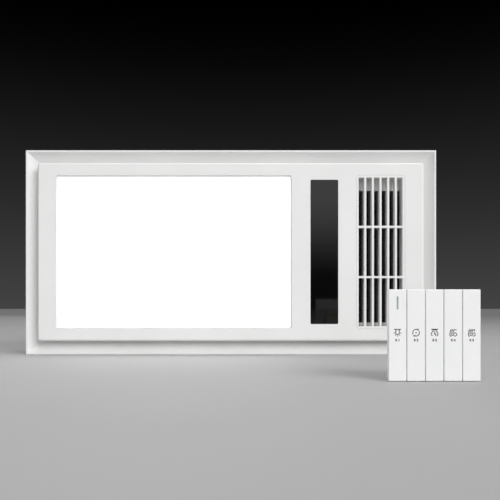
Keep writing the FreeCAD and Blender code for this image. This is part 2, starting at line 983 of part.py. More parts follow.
def wall_rows():
    # Screw places along the upper and lower walls, as X and Y
    y = d.partition_y - d.partition_lip / 2
    return [(fan_x + i * d.partition_screw_pitch, y) for i in (-1, 0, 1)]


def spigot_screw_places():
    x = d.spigot_flange_w / 2 - d.spigot_screw_in
    y = d.spigot_flange_h / 2 - d.spigot_screw_in
    return [(grille_x + i * x, spigot_y + j * y) for i in (1, -1) for j in (1, -1)]


def step_screw_places():
    z = hinge_z - d.step_offset
    return [(hinge_y + i * d.step_lug_pitch / 2, z) for i in (1, -1)]


def junction_screw_places():
    x = d.junction_w / 2 + d.junction_flange / 2
    return [(junction_x + i * x, d.junction_z) for i in (1, -1)]


def housing():
    pan = Piece("housing")
    wall = d.sheet_wall
    inner_r = d.box_corner - wall
    flange_out = box_z + d.box_flange
    flange = rect(pan_left - d.box_flange, box_right + d.box_flange, -flange_out, flange_out)
    box = rounded(box_left, box_right, -box_z, box_z, d.box_corner)
    shallow = rounded(pan_left, box_left + 2 * d.box_corner, -box_z, box_z, d.box_corner)
    box_in = rounded(box_left + wall, box_right_in, -box_z_in, box_z_in, inner_r)
    shallow_in = rounded(pan_left + wall, box_left + 3 * d.box_corner, -box_z_in, box_z_in, inner_r)
    pan.add("XZ", ring_back, flange_back, flange)
    pan.add("XZ", ring_back, d.box_depth, box)
    pan.add("XZ", ring_back, d.pan_depth, shallow)
    pan.cut("XZ", ring_back, box_inner, box_in)
    pan.cut("XZ", ring_back, pan_inner, shallow_in)
    rib_z = box_z - d.rib_inset
    box_mid = (box_left + box_right) / 2
    pan_mid = (pan_left + box_left) / 2
    box_rib = box_right - box_left - 2 * d.rib_inset
    pan_rib = box_left - pan_left - 2 * d.rib_inset
    ribs = [slot(box_mid, side * rib_z, box_rib, d.rib_w / 2) for side in (1, -1)]
    pan.add("XZ", d.box_depth, d.box_depth + d.rib_rise, *ribs)
    pan.add("XZ", d.pan_depth, d.pan_depth + d.rib_rise, slot(pan_mid, -rib_z, pan_rib, d.rib_w / 2))
    pan.cut("XY", box_z_in, box_z, Circle(grille_x, spigot_y, d.spigot_r - d.spigot_wall))
    pan.cut("XY", box_z_in, box_z, *[Circle(x, y, pilot_r) for x, y in spigot_screw_places()])
    pan.cut("XY", box_z_in, box_z, *[Circle(x, y, hole_r) for x, y in wall_rows()])
    pan.cut("XY", -box_z, -box_z_in, *[Circle(x, y, hole_r) for x, y in wall_rows()])
    shaft_hole = Circle(hinge_y, hinge_z, d.flap_shaft_r + d.running_gap)
    pan.cut("YZ", box_right_in, box_right, shaft_hole)
    pan.cut("YZ", box_right_in, box_right, *[Circle(y, z, pilot_r) for y, z in step_screw_places()])
    pan.cut("XZ", pan_inner, d.pan_depth, *[Circle(x, z, pilot_r) for x, z in junction_screw_places()])
    pan.cut("XZ", pan_inner, d.pan_depth, Circle(junction_x, d.junction_z + d.block_h, d.grommet_bore))
    pan.cut("XZ", ring_back, flange_back, *[Circle(x, z, hole_r) for x, z in flange_places])


def housing_screws():
    screws = [screw("Y", place, flange_back, ring_y + d.fit_gap, d.head_rise) for place in flange_places]
    gather("housing_screws", screws)


def partition_plate():
    plate = Piece("partition_plate")
    left = box_left + d.sheet_wall + d.partition_gap
    top = box_z_in - d.partition_gap
    eye = Circle(fan_x, 0, bell_eye_r + d.bell_r)
    holes = [Circle(x, z, pilot_r) for x, z in volute_screw_places()]
    outline = half_rounded(chamber_left, left, -top, top, d.box_corner)
    plate.add("XZ", d.partition_y, partition_back, outline, eye, *holes)
    rim = bell_eye_r + d.bell_r
    lip = Loop(
        (rim, d.partition_y),
        (bell_eye_r, d.partition_y + d.bell_r, d.bell_r, -1),
        (bell_eye_r + d.partition_wall, d.partition_y + d.bell_r),
        (rim, partition_back, d.bell_r - d.partition_wall, 1),
    )
    plate.turn("XY", 0, lip, (fan_x, 0))
    front = d.partition_y - d.partition_lip
    wall = d.sheet_wall
    edge = rect(left + d.box_corner, chamber_left, front, d.partition_y)
    upper = [Circle(x, y, pilot_r) for x, y in wall_rows()]
    plate.add("XY", top - wall, top, edge, *upper)
    plate.add("XY", -top, -top + wall, edge, *upper)


def partition_screws():
    reach = box_z_in - d.partition_gap - d.sheet_wall
    screws = [screw("Z", place, box_z, reach - d.screw_gap, d.head_rise) for place in wall_rows()]
    screws += [screw("Z", place, -box_z, -reach + d.screw_gap, d.head_rise) for place in wall_rows()]
    gather("partition_screws", screws)


def outlet_duct():
    duct = Piece("outlet_duct")
    wall = d.duct_wall
    inner = centred(grille_x, 0, d.grille_w, grille_h)
    outer = centred(grille_x, 0, d.grille_w + 2 * wall, grille_h + 2 * wall)
    right = box_right_in - d.partition_gap
    top = box_z_in - d.partition_gap
    back = box_inner - d.partition_gap
    throat = rect(grille_x - d.throat_w / 2, grille_x + d.throat_w / 2, throat_low, throat_high)
    duct.add("XZ", duct_front, d.partition_y, outer, inner)
    plate = half_rounded(chamber_left, right, -top, top, d.box_corner)
    duct.add("XZ", d.partition_y, partition_back, plate, throat)
    low, high = outlet_span()
    inset = d.outlet_inset
    mouth_back = volute_back - d.volute_wall - inset
    mouth = rect(partition_back + inset, mouth_back, low + inset, high - inset)
    shaft_hole = Circle(hinge_y, hinge_z, d.flap_shaft_r + d.running_gap)
    side = rect(partition_back, back, d.chamber_floor - wall, top)
    duct.add("YZ", chamber_left, chamber_left + wall, side, mouth, shaft_hole)
    floor = rect(chamber_left, right, partition_back, back)
    duct.add("XY", d.chamber_floor - wall, d.chamber_floor, floor)


def exhaust_spigot():
    spigot = Piece("exhaust_spigot")
    bore = d.spigot_r - d.spigot_wall
    top = box_z + d.spigot_rise
    flange = centred_round(grille_x, spigot_y, d.spigot_flange_w, d.spigot_flange_h, d.spigot_corner)
    hole = Circle(grille_x, spigot_y, bore)
    screws = [Circle(x, y, hole_r) for x, y in spigot_screw_places()]
    spigot.add("XY", box_z, box_z + d.spigot_flange_wall, flange, hole, *screws)
    tube = Loop((bore, box_z), (d.spigot_r, box_z), (d.spigot_r, top), (bore, top))
    spigot.turn("XZ", spigot_y, tube, (grille_x, 0))
    reach = d.spigot_r - d.spigot_wall / 4
    bearing = Circle(spigot_y, leaf_z, d.rod_r + d.running_gap)
    spigot.cut("YZ", grille_x - reach, grille_x + reach, bearing)


def spigot_screws():
    seat = box_z + d.spigot_flange_wall
    tip = box_z_in - d.screw_gap
    gather("spigot_screws", [screw("Z", place, seat, tip, d.head_rise) for place in spigot_screw_places()])


def damper_rod():
    reach = d.spigot_r - d.spigot_wall / 2
    bar = rod("X", (spigot_y, leaf_z), grille_x - reach, grille_x + reach, d.rod_r)
    name_piece("damper_rod", bar)


def damper_leaf(label, side, knuckles):
    leaf = Piece(label)
    radius = d.spigot_r - d.spigot_wall - d.leaf_gap
    half = root(radius * radius - d.leaf_slot * d.leaf_slot)
    edge = side * d.leaf_slot
    low = leaf_z - d.leaf_wall / 2
    high = leaf_z + d.leaf_wall / 2
    middle = (grille_x, spigot_y)
    disc = Loop((side * half, edge), (0, side * radius, radius, 1), (-side * half, edge, radius, 1))
    leaf.add("XY", low, high, disc, origin=middle)
    for x in knuckles:
        left = grille_x + x - d.knuckle_w / 2
        right = grille_x + x + d.knuckle_w / 2
        tab = sorted((spigot_y, spigot_y + side * (d.leaf_slot + d.leaf_wall)), key=number)
        leaf.add("XY", low, high, rect(left, right, *tab))
        leaf.add("YZ", left, right, Circle(spigot_y, leaf_z, d.knuckle_r))
    bore = Circle(spigot_y, leaf_z, d.rod_r + d.running_gap)
    leaf.cut("YZ", grille_x - radius, grille_x + radius, bore)


def damper_leaves():
    outer = d.knuckle_w + d.fit_gap
    damper_leaf("damper_leaf_front", -1, (-outer, outer))
    damper_leaf("damper_leaf_rear", 1, (as_size(0),))


# Diverter


def diverter_flap():
    flap = Piece("diverter_flap")
    left = flap_left
    right = flap_right
    tip = hinge_y + flap_length
    half = d.flap_wall / 2
    rim = d.flap_rim
    rise = box_z_in - hinge_z - d.flap_seal
    outline = rect(left, right, hinge_y, tip)
    hollow = rect(left + rim, right - rim, hinge_y + rim, tip - rim)
    flap.add("XY", hinge_z - half, hinge_z + half, outline)
    flap.add("XY", hinge_z + half, hinge_z + rise, outline, hollow)
    flap.add("XY", hinge_z - rise, hinge_z - half, outline, hollow)
    flap.add("YZ", left, right, Circle(hinge_y, hinge_z, d.flap_barrel_r))
    flap.cut("YZ", left, right, Circle(hinge_y, hinge_z, d.flap_shaft_r + d.running_gap))


def diverter_drive():
    place = (hinge_y, hinge_z)
    end = box_right + d.step_socket - d.screw_gap
    shaft = rod("X", place, chamber_left - d.duct_wall, end, d.flap_shaft_r)
    name_piece("diverter_shaft", shaft)
    motor = Piece("diverter_motor")
    centre = hinge_z - d.step_offset
    lug = slot(hinge_y, centre, d.step_lug_pitch + 2 * d.step_lug_r, d.step_lug_r)
    motor.add("YZ", box_right, box_right + d.step_depth, Circle(hinge_y, centre, d.step_r))
    motor.add("YZ", box_right, box_right + d.step_lug_wall, lug)
    socket = Circle(hinge_y, hinge_z, d.flap_shaft_r + d.running_gap)
    motor.cut("YZ", box_right, box_right + d.step_socket, socket)
    holes = [Circle(y, z, hole_r) for y, z in step_screw_places()]
    motor.cut("YZ", box_right, box_right + d.step_lug_wall, *holes)
    seat = box_right + d.step_lug_wall
    tip = box_right_in - d.screw_gap
    gather("diverter_screws", [screw("X", place, seat, tip, d.head_rise) for place in step_screw_places()])


# Blower


def outlet_span():
    # Lower and upper inside walls of the volute's outlet
    growth = d.volute_growth
    radius = impeller_r + d.volute_gap + 2 * growth
    return (-growth / 2, growth / 2 + radius)


def volute_outline(offset):
    # Three quarter turns of growing radius about the corners of a small square, then a straight outlet
    growth = d.volute_growth
    near = -growth / 2
    far = growth / 2
    first = impeller_r + d.volute_gap
    second = first + growth
    third = second + growth
    out = chamber_left - fan_x
    return Loop(
        (out, near - offset),
        (near + first + offset, near - offset),
        (near, near - first - offset, first + offset, -1),
        (near - second - offset, far, second + offset, -1),
        (far, far + third + offset, third + offset, -1),
        (out, far + third + offset),
    )


def volute_screw_places():
    growth = d.volute_growth
    first = impeller_r + d.volute_gap
    out = (d.volute_wall + d.volute_flange) / 2
    top = growth / 2 + first + 2 * growth + out
    return [
        (fan_x - growth / 2, -growth / 2 - first - out),
        (fan_x - growth / 2 - first - growth - out, growth / 2),
        (fan_x + growth / 2, top),
        (chamber_left - d.volute_screw_in, top),
    ]


def volute():
    casing = Piece("volute")
    middle = (fan_x, 0)
    wall = d.volute_wall
    casing.add("XZ", partition_back, partition_back + wall, volute_outline(d.volute_flange), origin=middle)
    casing.add("XZ", partition_back, volute_back, volute_outline(wall), origin=middle)
    casing.cut("XZ", partition_back, volute_back - wall, volute_outline(as_size(0)), origin=middle)
    casing.cut("XZ", volute_back - wall, volute_back, Circle(0, 0, d.motor_hole_r), origin=middle)
    pilot = Circle(0, d.motor_lug_out, pilot_r)
    first = casing.cut("XZ", volute_back - wall, volute_back, pilot, origin=middle)
    casing.around(first, d.motor_lug_count)
    holes = [Circle(x, z, hole_r) for x, z in volute_screw_places()]
    casing.cut("XZ", partition_back, partition_back + wall, *holes)


def volute_screws():
    seat = partition_back + d.volute_wall
    tip = d.partition_y + d.screw_gap
    gather("volute_screws", [screw("Y", place, seat, tip, d.head_rise) for place in volute_screw_places()])


def impeller():
    wheel = Piece("impeller")
    middle = (fan_x, 0)
    bore = d.shaft_r + d.running_gap
    disc_y = impeller_back - d.impeller_disc
    hub_y = disc_y - d.hub_depth
    hub = Loop(
        (bore, hub_y),
        (d.hub_r, hub_y),
        (d.hub_r, disc_y),
        (impeller_r, disc_y),
        (impeller_r, impeller_back),
        (bore, impeller_back),
    )
    wheel.turn("XY", 0, hub, middle)
    tip = impeller_r - d.blade_wall
    half = d.blade_wall / 2
    blade = Loop(
        (blade_inner_r, -half),
        (tip, -half - d.blade_lean, d.blade_bend, -1),
        (tip, half - d.blade_lean),
        (blade_inner_r, half, d.blade_bend, 1),
    )
    front = impeller_front + d.impeller_ring_wall / 2
    first = wheel.add("XZ", front, impeller_back - d.impeller_disc / 2, blade, origin=middle)
    wheel.around(first, d.blade_count)
    ring_r = impeller_r - d.impeller_ring_w
    ring_end = impeller_front + d.impeller_ring_wall
    ring = Loop(
        (ring_r, impeller_front),
        (impeller_r, impeller_front),
        (impeller_r, ring_end),
        (ring_r, ring_end),
    )
    wheel.turn("XY", 0, ring, middle)


def motor():
    body = Piece("motor_body")
    middle = (fan_x, 0)
    bore = d.shaft_r + d.running_gap
    boss = d.motor_hole_r - d.fit_gap
    shoulder = volute_back + d.motor_depth
    end = shoulder + d.motor_cap_depth
    shell = Loop(
        (bore, volute_back - d.volute_wall),
        (boss, volute_back - d.volute_wall),
        (boss, volute_back),
        (d.motor_r, volute_back),
        (d.motor_r, shoulder - d.motor_bevel),
        (d.motor_r - d.motor_bevel, shoulder),
        (d.motor_cap_r, shoulder),
        (d.motor_cap_r, end - d.motor_bevel),
        (d.motor_cap_r - d.motor_bevel, end),
        (bore, end),
    )
    body.turn("XY", 0, shell, middle)
    reach = d.motor_lug_out
    radius = d.motor_lug_r
    lug = Loop(
        (radius, d.motor_r - radius),
        (radius, reach),
        (0, reach + radius, radius, 1),
        (-radius, reach, radius, 1),
        (-radius, d.motor_r - radius),
    )
    first = body.add("XZ", volute_back, volute_back + d.motor_lug_wall, lug, origin=middle)
    body.around(first, d.motor_lug_count)
    hole = Circle(0, reach, hole_r)
    first = body.cut("XZ", volute_back, volute_back + d.motor_lug_wall, hole, origin=middle)
    body.around(first, d.motor_lug_count)


def motor_screws():
    seat = volute_back + d.motor_lug_wall
    tip = volute_back - d.volute_wall + d.screw_gap
    screws = []
    for i in range(whole(d.motor_lug_count)):
        across, up = turned(d.motor_lug_out, i, d.motor_lug_count)
        screws.append(screw("Y", (fan_x + across, up), seat, tip, d.head_rise))
    gather("motor_screws", screws)


def motor_shaft():
    middle = (fan_x, 0)
    hub_y = impeller_back - d.impeller_disc - d.hub_depth
    journal = rod("Y", middle, hub_y, volute_back + d.motor_depth, d.shaft_r)
    thread = rod("Y", middle, hub_y - d.thread_end, hub_y, d.thread_r)
    name_piece("motor_shaft", fuse(journal, thread))
    hexagon = doc.addObject("Part::Prism", "hexagon")
    hexagon.Polygon = 6
    hexagon.Placement = FreeCAD.Placement(FreeCAD.Vector(), FreeCAD.Rotation(FreeCAD.Vector(1, 0, 0), -90))
    bind(hexagon, "Circumradius", d.nut_r)
    bind(hexagon, "Height", d.nut_wall)
    bind(hexagon, "Placement.Base.x", fan_x)
    bind(hexagon, "Placement.Base.y", hub_y - d.nut_wall)
    hole = rod("Y", middle, hub_y - d.nut_wall, hub_y, d.thread_r + d.running_gap)
    name_piece("shaft_nut", carve(hexagon, hole))


def run_capacitor():
    can = Piece("run_capacitor")
    outline = centred_round(capacitor_x, capacitor_z, d.capacitor_w, d.capacitor_h, d.box_corner)
    can.add("XZ", partition_back, partition_back + d.capacitor_depth, outline)


# Heater

heater_back = d.heater_y + d.heater_depth
heater_w = d.grille_w - 2 * d.heater_gap
heater_top = grille_h / 2 - d.heater_gap
core_half = heater_w / 2 - d.rail_wall
core_low = -heater_top + d.cap_bottom
core_high = heater_top - d.cap_top


def heater_frame():
    frame = Piece("heater_frame")
    outer = rect(grille_x - heater_w / 2, grille_x + heater_w / 2, -heater_top, heater_top)
    window = rect(grille_x - core_half, grille_x + core_half, core_low, core_high)
    frame.add("XZ", d.heater_y, heater_back, outer, window)


def fin_strip(near, far, count, pitch):
    # One corrugated strip: a ribbon folded to and fro between two tubes
    front = number(d.heater_y + d.core_inset)
    depth = number(d.heater_depth - 2 * d.core_inset)
    low = number(core_low)
    lap = number(d.fin_lap)
    folds = range(2 * count + 1)
    left_edge = [(near if i % 2 == 0 else far - lap, low + i * pitch / 2) for i in folds]
    right_edge = [(x + lap, z) for x, z in reversed(left_edge)]
    corners = [FreeCAD.Vector(x, front, z) for x, z in left_edge + right_edge]
    ribbon = Part.Face(Part.makePolygon(corners + corners[:1]))
    strip = doc.addObject("Part::Feature", "strip")
    strip.Shape = ribbon.extrude(FreeCAD.Vector(0, depth, 0))
    return strip


def heater_core():
    # Flat element tubes between two side plates, with corrugated fins between them
    span = (d.heater_y + d.core_inset, heater_back - d.core_inset)
    left = grille_x - core_half
    right = grille_x + core_half
    wall = d.side_plate
    fin_w = (right - left - 2 * wall - d.tube_count * d.tube_w) / (d.tube_count + 1)
    step = fin_w + d.tube_w
    height = (core_low, core_high)
    bars = [block((left, left + wall), span, height), block((right - wall, right), span, height)]
    for i in range(whole(d.tube_count)):
        edge = left + wall + fin_w + step * i
        bars.append(block((edge, edge + d.tube_w), span, height))
    gather("heater_tubes", bars)
    room = number(core_high - core_low)
    count = int(room / number(d.fin_pitch))
    strips = []
    for i in range(whole(d.tube_count) + 1):
        near = number(left + wall + step * i)
        strips.append(fin_strip(near, near + number(fin_w), count, room / count))
    gather("heater_fins", strips)


def heater_terminals():
    tags = []
    z = (core_high + heater_top) / 2
    for i in (-1, 0, 1):
        x = grille_x + i * d.tag_pitch
        width = (x - d.tag_w / 2, x + d.tag_w / 2)
        tags.append(block(width, (heater_back, heater_back + d.tag_rise), (z, z + d.tag_wall)))
    gather("heater_terminals", tags)


def thermal_cutout():
    disc = rod("Y", (grille_x, 0), d.partition_y - d.cutout_depth, d.partition_y, d.cutout_r)
    name_piece("thermal_cutout", disc)


# Junction box and controls


def junction_cover():
    cover = Piece("junction_cover")
    back = d.pan_depth + d.junction_depth
    wall = d.sheet_wall
    left = junction_x - d.junction_w / 2
    box = centred(junction_x, d.junction_z, d.junction_w, d.junction_h)
    inner = centred(junction_x, d.junction_z, d.junction_w - 2 * wall, d.junction_h - 2 * wall)
    flange_w = d.junction_w + 2 * d.junction_flange
    flange = centred(junction_x, d.junction_z, flange_w, d.junction_h / 2)
    cover.add("XZ", d.pan_depth, back, box)
    cover.add("XZ", d.pan_depth, d.pan_depth + wall, flange)
    cover.cut("XZ", d.pan_depth, back - wall, inner)
    holes = [Circle(x, z, hole_r) for x, z in junction_screw_places()]
    cover.cut("XZ", d.pan_depth, d.pan_depth + wall, *holes)
    middle = d.pan_depth + d.junction_depth / 2
    cover.cut("YZ", left, left + wall, Circle(middle, d.junction_z, d.grommet_r + d.running_gap))


def junction_screws():
    seat = d.pan_depth + d.sheet_wall
    places = junction_screw_places()
    gather("junction_screws", [screw("Y", place, seat, pan_inner, d.head_rise) for place in places])


def cable_grommet():
    left = junction_x - d.junction_w / 2
    place = (d.pan_depth + d.junction_depth / 2, d.junction_z)
    sleeve = rod("X", place, left, left + d.grommet_wall, d.grommet_r)
    head = rod("X", place, left - d.grommet_wall, left, d.grommet_head)
    bore = rod("X", place, left - d.grommet_wall, left + d.grommet_wall, d.grommet_bore)
    name_piece("cable_grommet", carve(fuse(sleeve, head), bore))


def terminal_block():
    blockwork = Piece("terminal_block")
    back = d.pan_depth + d.block_depth
    blockwork.add("XZ", d.pan_depth, back, centred(junction_x, d.junction_z, d.block_w, d.block_h))
    start = junction_x + spread(d.way_count, d.way_pitch, 0)
    way = Circle(start, d.junction_z, d.way_r)
    first = blockwork.cut("XZ", back - d.block_depth / 2, back, way)
    blockwork.row(first, "X", d.way_pitch * (d.way_count - 1), d.way_count)


def light_driver():
    driver = Piece("light_driver")
    low = d.driver_z - d.driver_h / 2
    high = d.driver_z + d.driver_h / 2
    outline = rounded(driver_left, driver_right, low, high, d.box_corner)
    driver.add("XZ", pan_inner - d.driver_depth, pan_inner, outline)


def control_board():
    board_back = pan_inner - d.standoff_rise
    board_front = board_back - d.board_wall
    board = Piece("control_board")
    board.add("XZ", board_front, board_back, centred(control_x, 0, d.control_w, d.control_h))
    posts = []
    for i in (1, -1):
        for j in (1, -1):
            x = control_x + i * (d.control_w / 2 - 2 * d.standoff_r)
            z = j * (d.control_h / 2 - 2 * d.standoff_r)
            posts.append(rod("Y", (x, z), board_back, pan_inner, d.standoff_r))
    gather("board_posts", posts)
    relays = []
    across = (control_x - d.relay_w / 2, control_x + d.relay_w / 2)
    deep = (board_front - d.relay_rise, board_front)
    for i in range(whole(d.relay_count)):
        z = spread(d.relay_count, d.relay_pitch, i)
        relays.append(block(across, deep, (z - d.relay_h / 2, z + d.relay_h / 2)))
    gather("board_relays", relays)


# Wall switch

switch_y = -d.switch_reach
switch_z = -half_h + d.switch_w / 2
rocker_pitch = d.switch_w / d.rocker_count
pivot_y = switch_y + d.pivot_depth
frame_front = switch_y + d.switch_frame_y
base_front = frame_front + d.switch_frame_wall
base_back = base_front + d.base_depth


def hang(body, x):
    # Rocker pieces are drawn about the pivot and set level on the rod
    bind(body, "Placement.Base.x", x)
    bind(body, "Placement.Base.y", pivot_y)
    bind(body, "Placement.Base.z", switch_z)


def rocker(label, i):
    key = Piece(label)
    width = rocker_pitch - d.rocker_gap
    height = d.switch_w - 2 * d.rocker_edge
    front = -d.pivot_depth
    back = front + d.rocker_wall
    wall = d.rocker_wall
    outline = centred_round(0, 0, width, height, d.rocker_round)
    key.add("XZ", front, back, outline)
    key.soften(d.rocker_round, level_edge("Y", front))
    key.add("XZ", back, front + d.rocker_skirt, outline, centred(0, 0, width - 2 * wall, height - 2 * wall))
    half = d.barrel_w / 2
    key.add("YZ", -half, half, rect(front + wall / 2, 0, -d.web_wall / 2, d.web_wall / 2))
    key.add("YZ", -half, half, Circle(0, 0, d.barrel_r))
    key.cut("YZ", -half, half, Circle(0, 0, d.pivot_r + d.running_gap))
    x = d.switch_x + spread(d.rocker_count, rocker_pitch, i)
    if i == 0:
        key.cut("XZ", front, back, centred(0, d.lens_z, d.lens_w, d.lens_h))
        lens = Piece("indicator_lens")
        lens.add("XZ", front, back, centred(0, d.lens_z, d.lens_w, d.lens_h))
        hang(lens.body, x)
    hang(key.body, x)


def rockers():
    for i, use in enumerate(("light", "vent", "blow", "heat_low", "heat_high")):
        rocker("rocker_" + use, i)


def switch_frame():
    frame = Piece("switch_frame")
    side = d.switch_w - 2 * d.switch_frame_in
    outer = centred_round(d.switch_x, switch_z, side, side, d.rocker_round)
    opening = centred(d.switch_x, switch_z, d.switch_open_w, d.switch_open_h)
    frame.add("XZ", frame_front, base_front, outer, opening)


def switch_base():
    base = Piece("switch_base")
    body = centred_round(d.switch_x, switch_z, d.base_w, d.base_h, d.box_corner)
    base.add("XZ", base_front, base_back, body)
    ears = centred(d.switch_x, switch_z, 2 * d.ear_reach, d.ear_h)
    base.add("XZ", base_front, base_front + d.ear_wall, ears)
    tall = d.base_rib_h / 2
    rib_end = base_front + d.ear_wall / 2
    outline = rect(pivot_y - 2 * d.pivot_r, rib_end, switch_z - tall, switch_z + tall)
    half = d.base_rib / 2
    start = d.switch_x + spread(d.rocker_count - 1, rocker_pitch, 0)
    first = base.add("YZ", start - half, start + half, outline)
    base.row(first, "X", rocker_pitch * (d.rocker_count - 2), d.rocker_count - 1)
    for side in (1, -1):
        x = d.switch_x + side * (d.switch_open_w / 2 - d.base_rib / 2 - d.fit_gap)
        base.add("YZ", x - half, x + half, outline)
    reach = d.switch_open_w / 2
    axle = Circle(pivot_y, switch_z, d.pivot_r + d.running_gap)
    base.cut("YZ", d.switch_x - reach, d.switch_x + reach, axle)
    slots = [slot(d.switch_x + i * d.slot_pitch / 2, switch_z, d.slot_length, d.slot_r) for i in (1, -1)]
    base.cut("XZ", base_front, base_front + d.ear_wall, *slots)


def rocker_rod():
    reach = d.switch_open_w / 2 - d.fit_gap
    bar = rod("X", (pivot_y, switch_z), d.switch_x - reach, d.switch_x + reach, d.pivot_r)
    name_piece("rocker_rod", bar)


def switch_terminals():
    clamps = []
    for i in range(whole(d.rocker_count)):
        x = d.switch_x + spread(d.rocker_count, d.base_w / (d.rocker_count + 1), i)
        for side in (1, -1):
            z = switch_z + side * d.clamp_spread / 2
            clamps.append(rod("Y", (x, z), base_back, base_back + d.clamp_rise, d.clamp_r))
    gather("switch_terminals", clamps)


def build():
    panel_frame()
    face_plate()
    plate_screws()
    light_diffuser()
    light_tray()
    tray_screws()
    light_strips()
    display_glass()
    display_board()
    air_grille()
    duct_gasket()
    mounting_frame()
    housing()
    housing_screws()
    partition_plate()
    partition_screws()
    outlet_duct()
    exhaust_spigot()
    spigot_screws()
    damper_rod()
    damper_leaves()
    diverter_flap()
    diverter_drive()
    volute()
    volute_screws()
    impeller()
    motor()
    motor_screws()
    motor_shaft()
    run_capacitor()
    heater_frame()
    heater_core()
    heater_terminals()
    thermal_cutout()
    junction_cover()
    junction_screws()
    cable_grommet()
    terminal_block()
    light_driver()
    control_board()
    rockers()
    switch_frame()
    switch_base()
    rocker_rod()
    switch_terminals()


def check_all():
    for thing in doc.Objects:
        if "Invalid" in thing.State or "Error" in thing.State:
            raise RuntimeError(thing.Label + " did not compute: " + str(thing.State))
    for piece in pieces:
        if piece.Shape.isNull() or not piece.Shape.isValid():
            raise RuntimeError(piece.Label + " has no valid shape")


def write_all():
    for piece in pieces:
        piece.Shape.exportStep("parts/" + piece.Label + ".step")
        print(piece.Label, len(piece.Shape.Solids), round(piece.Shape.Volume))


build()
doc.recompute()
check_all()
write_all()
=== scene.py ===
import collections
import itertools
import math
import bmesh
import bpy
from mathutils import Matrix, Vector


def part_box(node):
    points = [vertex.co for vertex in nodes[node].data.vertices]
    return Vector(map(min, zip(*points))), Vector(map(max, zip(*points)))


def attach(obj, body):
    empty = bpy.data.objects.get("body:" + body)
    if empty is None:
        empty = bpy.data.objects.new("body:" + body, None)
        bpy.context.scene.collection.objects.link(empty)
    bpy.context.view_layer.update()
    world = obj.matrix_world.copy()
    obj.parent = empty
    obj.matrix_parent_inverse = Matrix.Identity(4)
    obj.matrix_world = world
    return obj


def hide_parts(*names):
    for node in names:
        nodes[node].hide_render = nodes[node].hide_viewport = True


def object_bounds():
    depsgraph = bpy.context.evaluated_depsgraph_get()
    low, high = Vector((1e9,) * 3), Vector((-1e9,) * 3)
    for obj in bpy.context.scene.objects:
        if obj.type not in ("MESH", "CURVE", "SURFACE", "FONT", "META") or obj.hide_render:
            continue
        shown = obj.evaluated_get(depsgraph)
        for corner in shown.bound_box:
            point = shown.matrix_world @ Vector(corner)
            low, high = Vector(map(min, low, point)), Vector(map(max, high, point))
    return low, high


# Looks for the ceiling heater with its light panel and its five-rocker wall switch.
# Metres, same frame as the CAD: X right, Z up, the front faces -Y.

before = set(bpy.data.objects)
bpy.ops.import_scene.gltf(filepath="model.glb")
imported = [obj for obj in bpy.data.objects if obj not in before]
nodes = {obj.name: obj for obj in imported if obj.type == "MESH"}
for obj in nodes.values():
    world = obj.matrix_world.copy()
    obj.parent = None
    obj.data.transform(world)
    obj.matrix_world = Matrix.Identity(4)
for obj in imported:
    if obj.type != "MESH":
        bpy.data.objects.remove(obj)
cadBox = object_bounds()
scene = bpy.context.scene


# small helpers for material and geometry trees

def addNode(tree, kind, **settings):
    node = tree.nodes.new(kind)
    for key, value in settings.items():
        setattr(node, key, value)
    return node


def join(tree, source, target):
    tree.links.new(source, target)


def feed(tree, values, sockets):
    # a plain number is set on its socket, anything else is linked to it
    for value, socket in zip(values, sockets):
        if isinstance(value, (int, float)):
            socket.default_value = value
        else:
            join(tree, value, socket)


def startFinish(name):
    mat = bpy.data.materials.new(name)
    mat.use_nodes = True
    tree = mat.node_tree
    tree.nodes.clear()
    shader = addNode(tree, "ShaderNodeBsdfPrincipled")
    output = addNode(tree, "ShaderNodeOutputMaterial")
    join(tree, shader.outputs["BSDF"], output.inputs["Surface"])
    coord = addNode(tree, "ShaderNodeTexCoord")
    return mat, tree, shader, coord.outputs["Object"]


def addNoise(tree, place, scale, detail=3.0, rough=0.5):
    noise = addNode(tree, "ShaderNodeTexNoise")
    noise.inputs["Scale"].default_value = scale
    noise.inputs["Detail"].default_value = detail
    noise.inputs["Roughness"].default_value = rough
    join(tree, place, noise.inputs["Vector"])
    return noise.outputs["Fac"]


def addRamp(tree, source, low, high, start=0.3, end=0.7):
    ramp = addNode(tree, "ShaderNodeValToRGB")
    ramp.color_ramp.elements[0].position = start
    ramp.color_ramp.elements[1].position = end
    ramp.color_ramp.elements[0].color = (*low, 1)
    ramp.color_ramp.elements[1].color = (*high, 1)
    join(tree, source, ramp.inputs["Fac"])
    return ramp.outputs["Color"]


def addRange(tree, source, low, high, start=0.3, end=0.7, soft=False):
    span = addNode(tree, "ShaderNodeMapRange")
    span.interpolation_type = "SMOOTHSTEP" if soft else "LINEAR"
    span.inputs["From Min"].default_value = start
    span.inputs["From Max"].default_value = end
    span.inputs["To Min"].default_value = low
    span.inputs["To Max"].default_value = high
    join(tree, source, span.inputs["Value"])
    return span.outputs["Result"]


def addMath(tree, operation, first, second):
    step = addNode(tree, "ShaderNodeMath", operation=operation)
    feed(tree, (first, second), step.inputs)
    return step.outputs["Value"]


def addBump(tree, shader, height, depth, strength=1.0):
    bump = addNode(tree, "ShaderNodeBump")
    bump.inputs["Distance"].default_value = depth
    bump.inputs["Strength"].default_value = strength
    join(tree, height, bump.inputs["Height"])
    join(tree, bump.outputs["Normal"], shader.inputs["Normal"])


finishes = {}

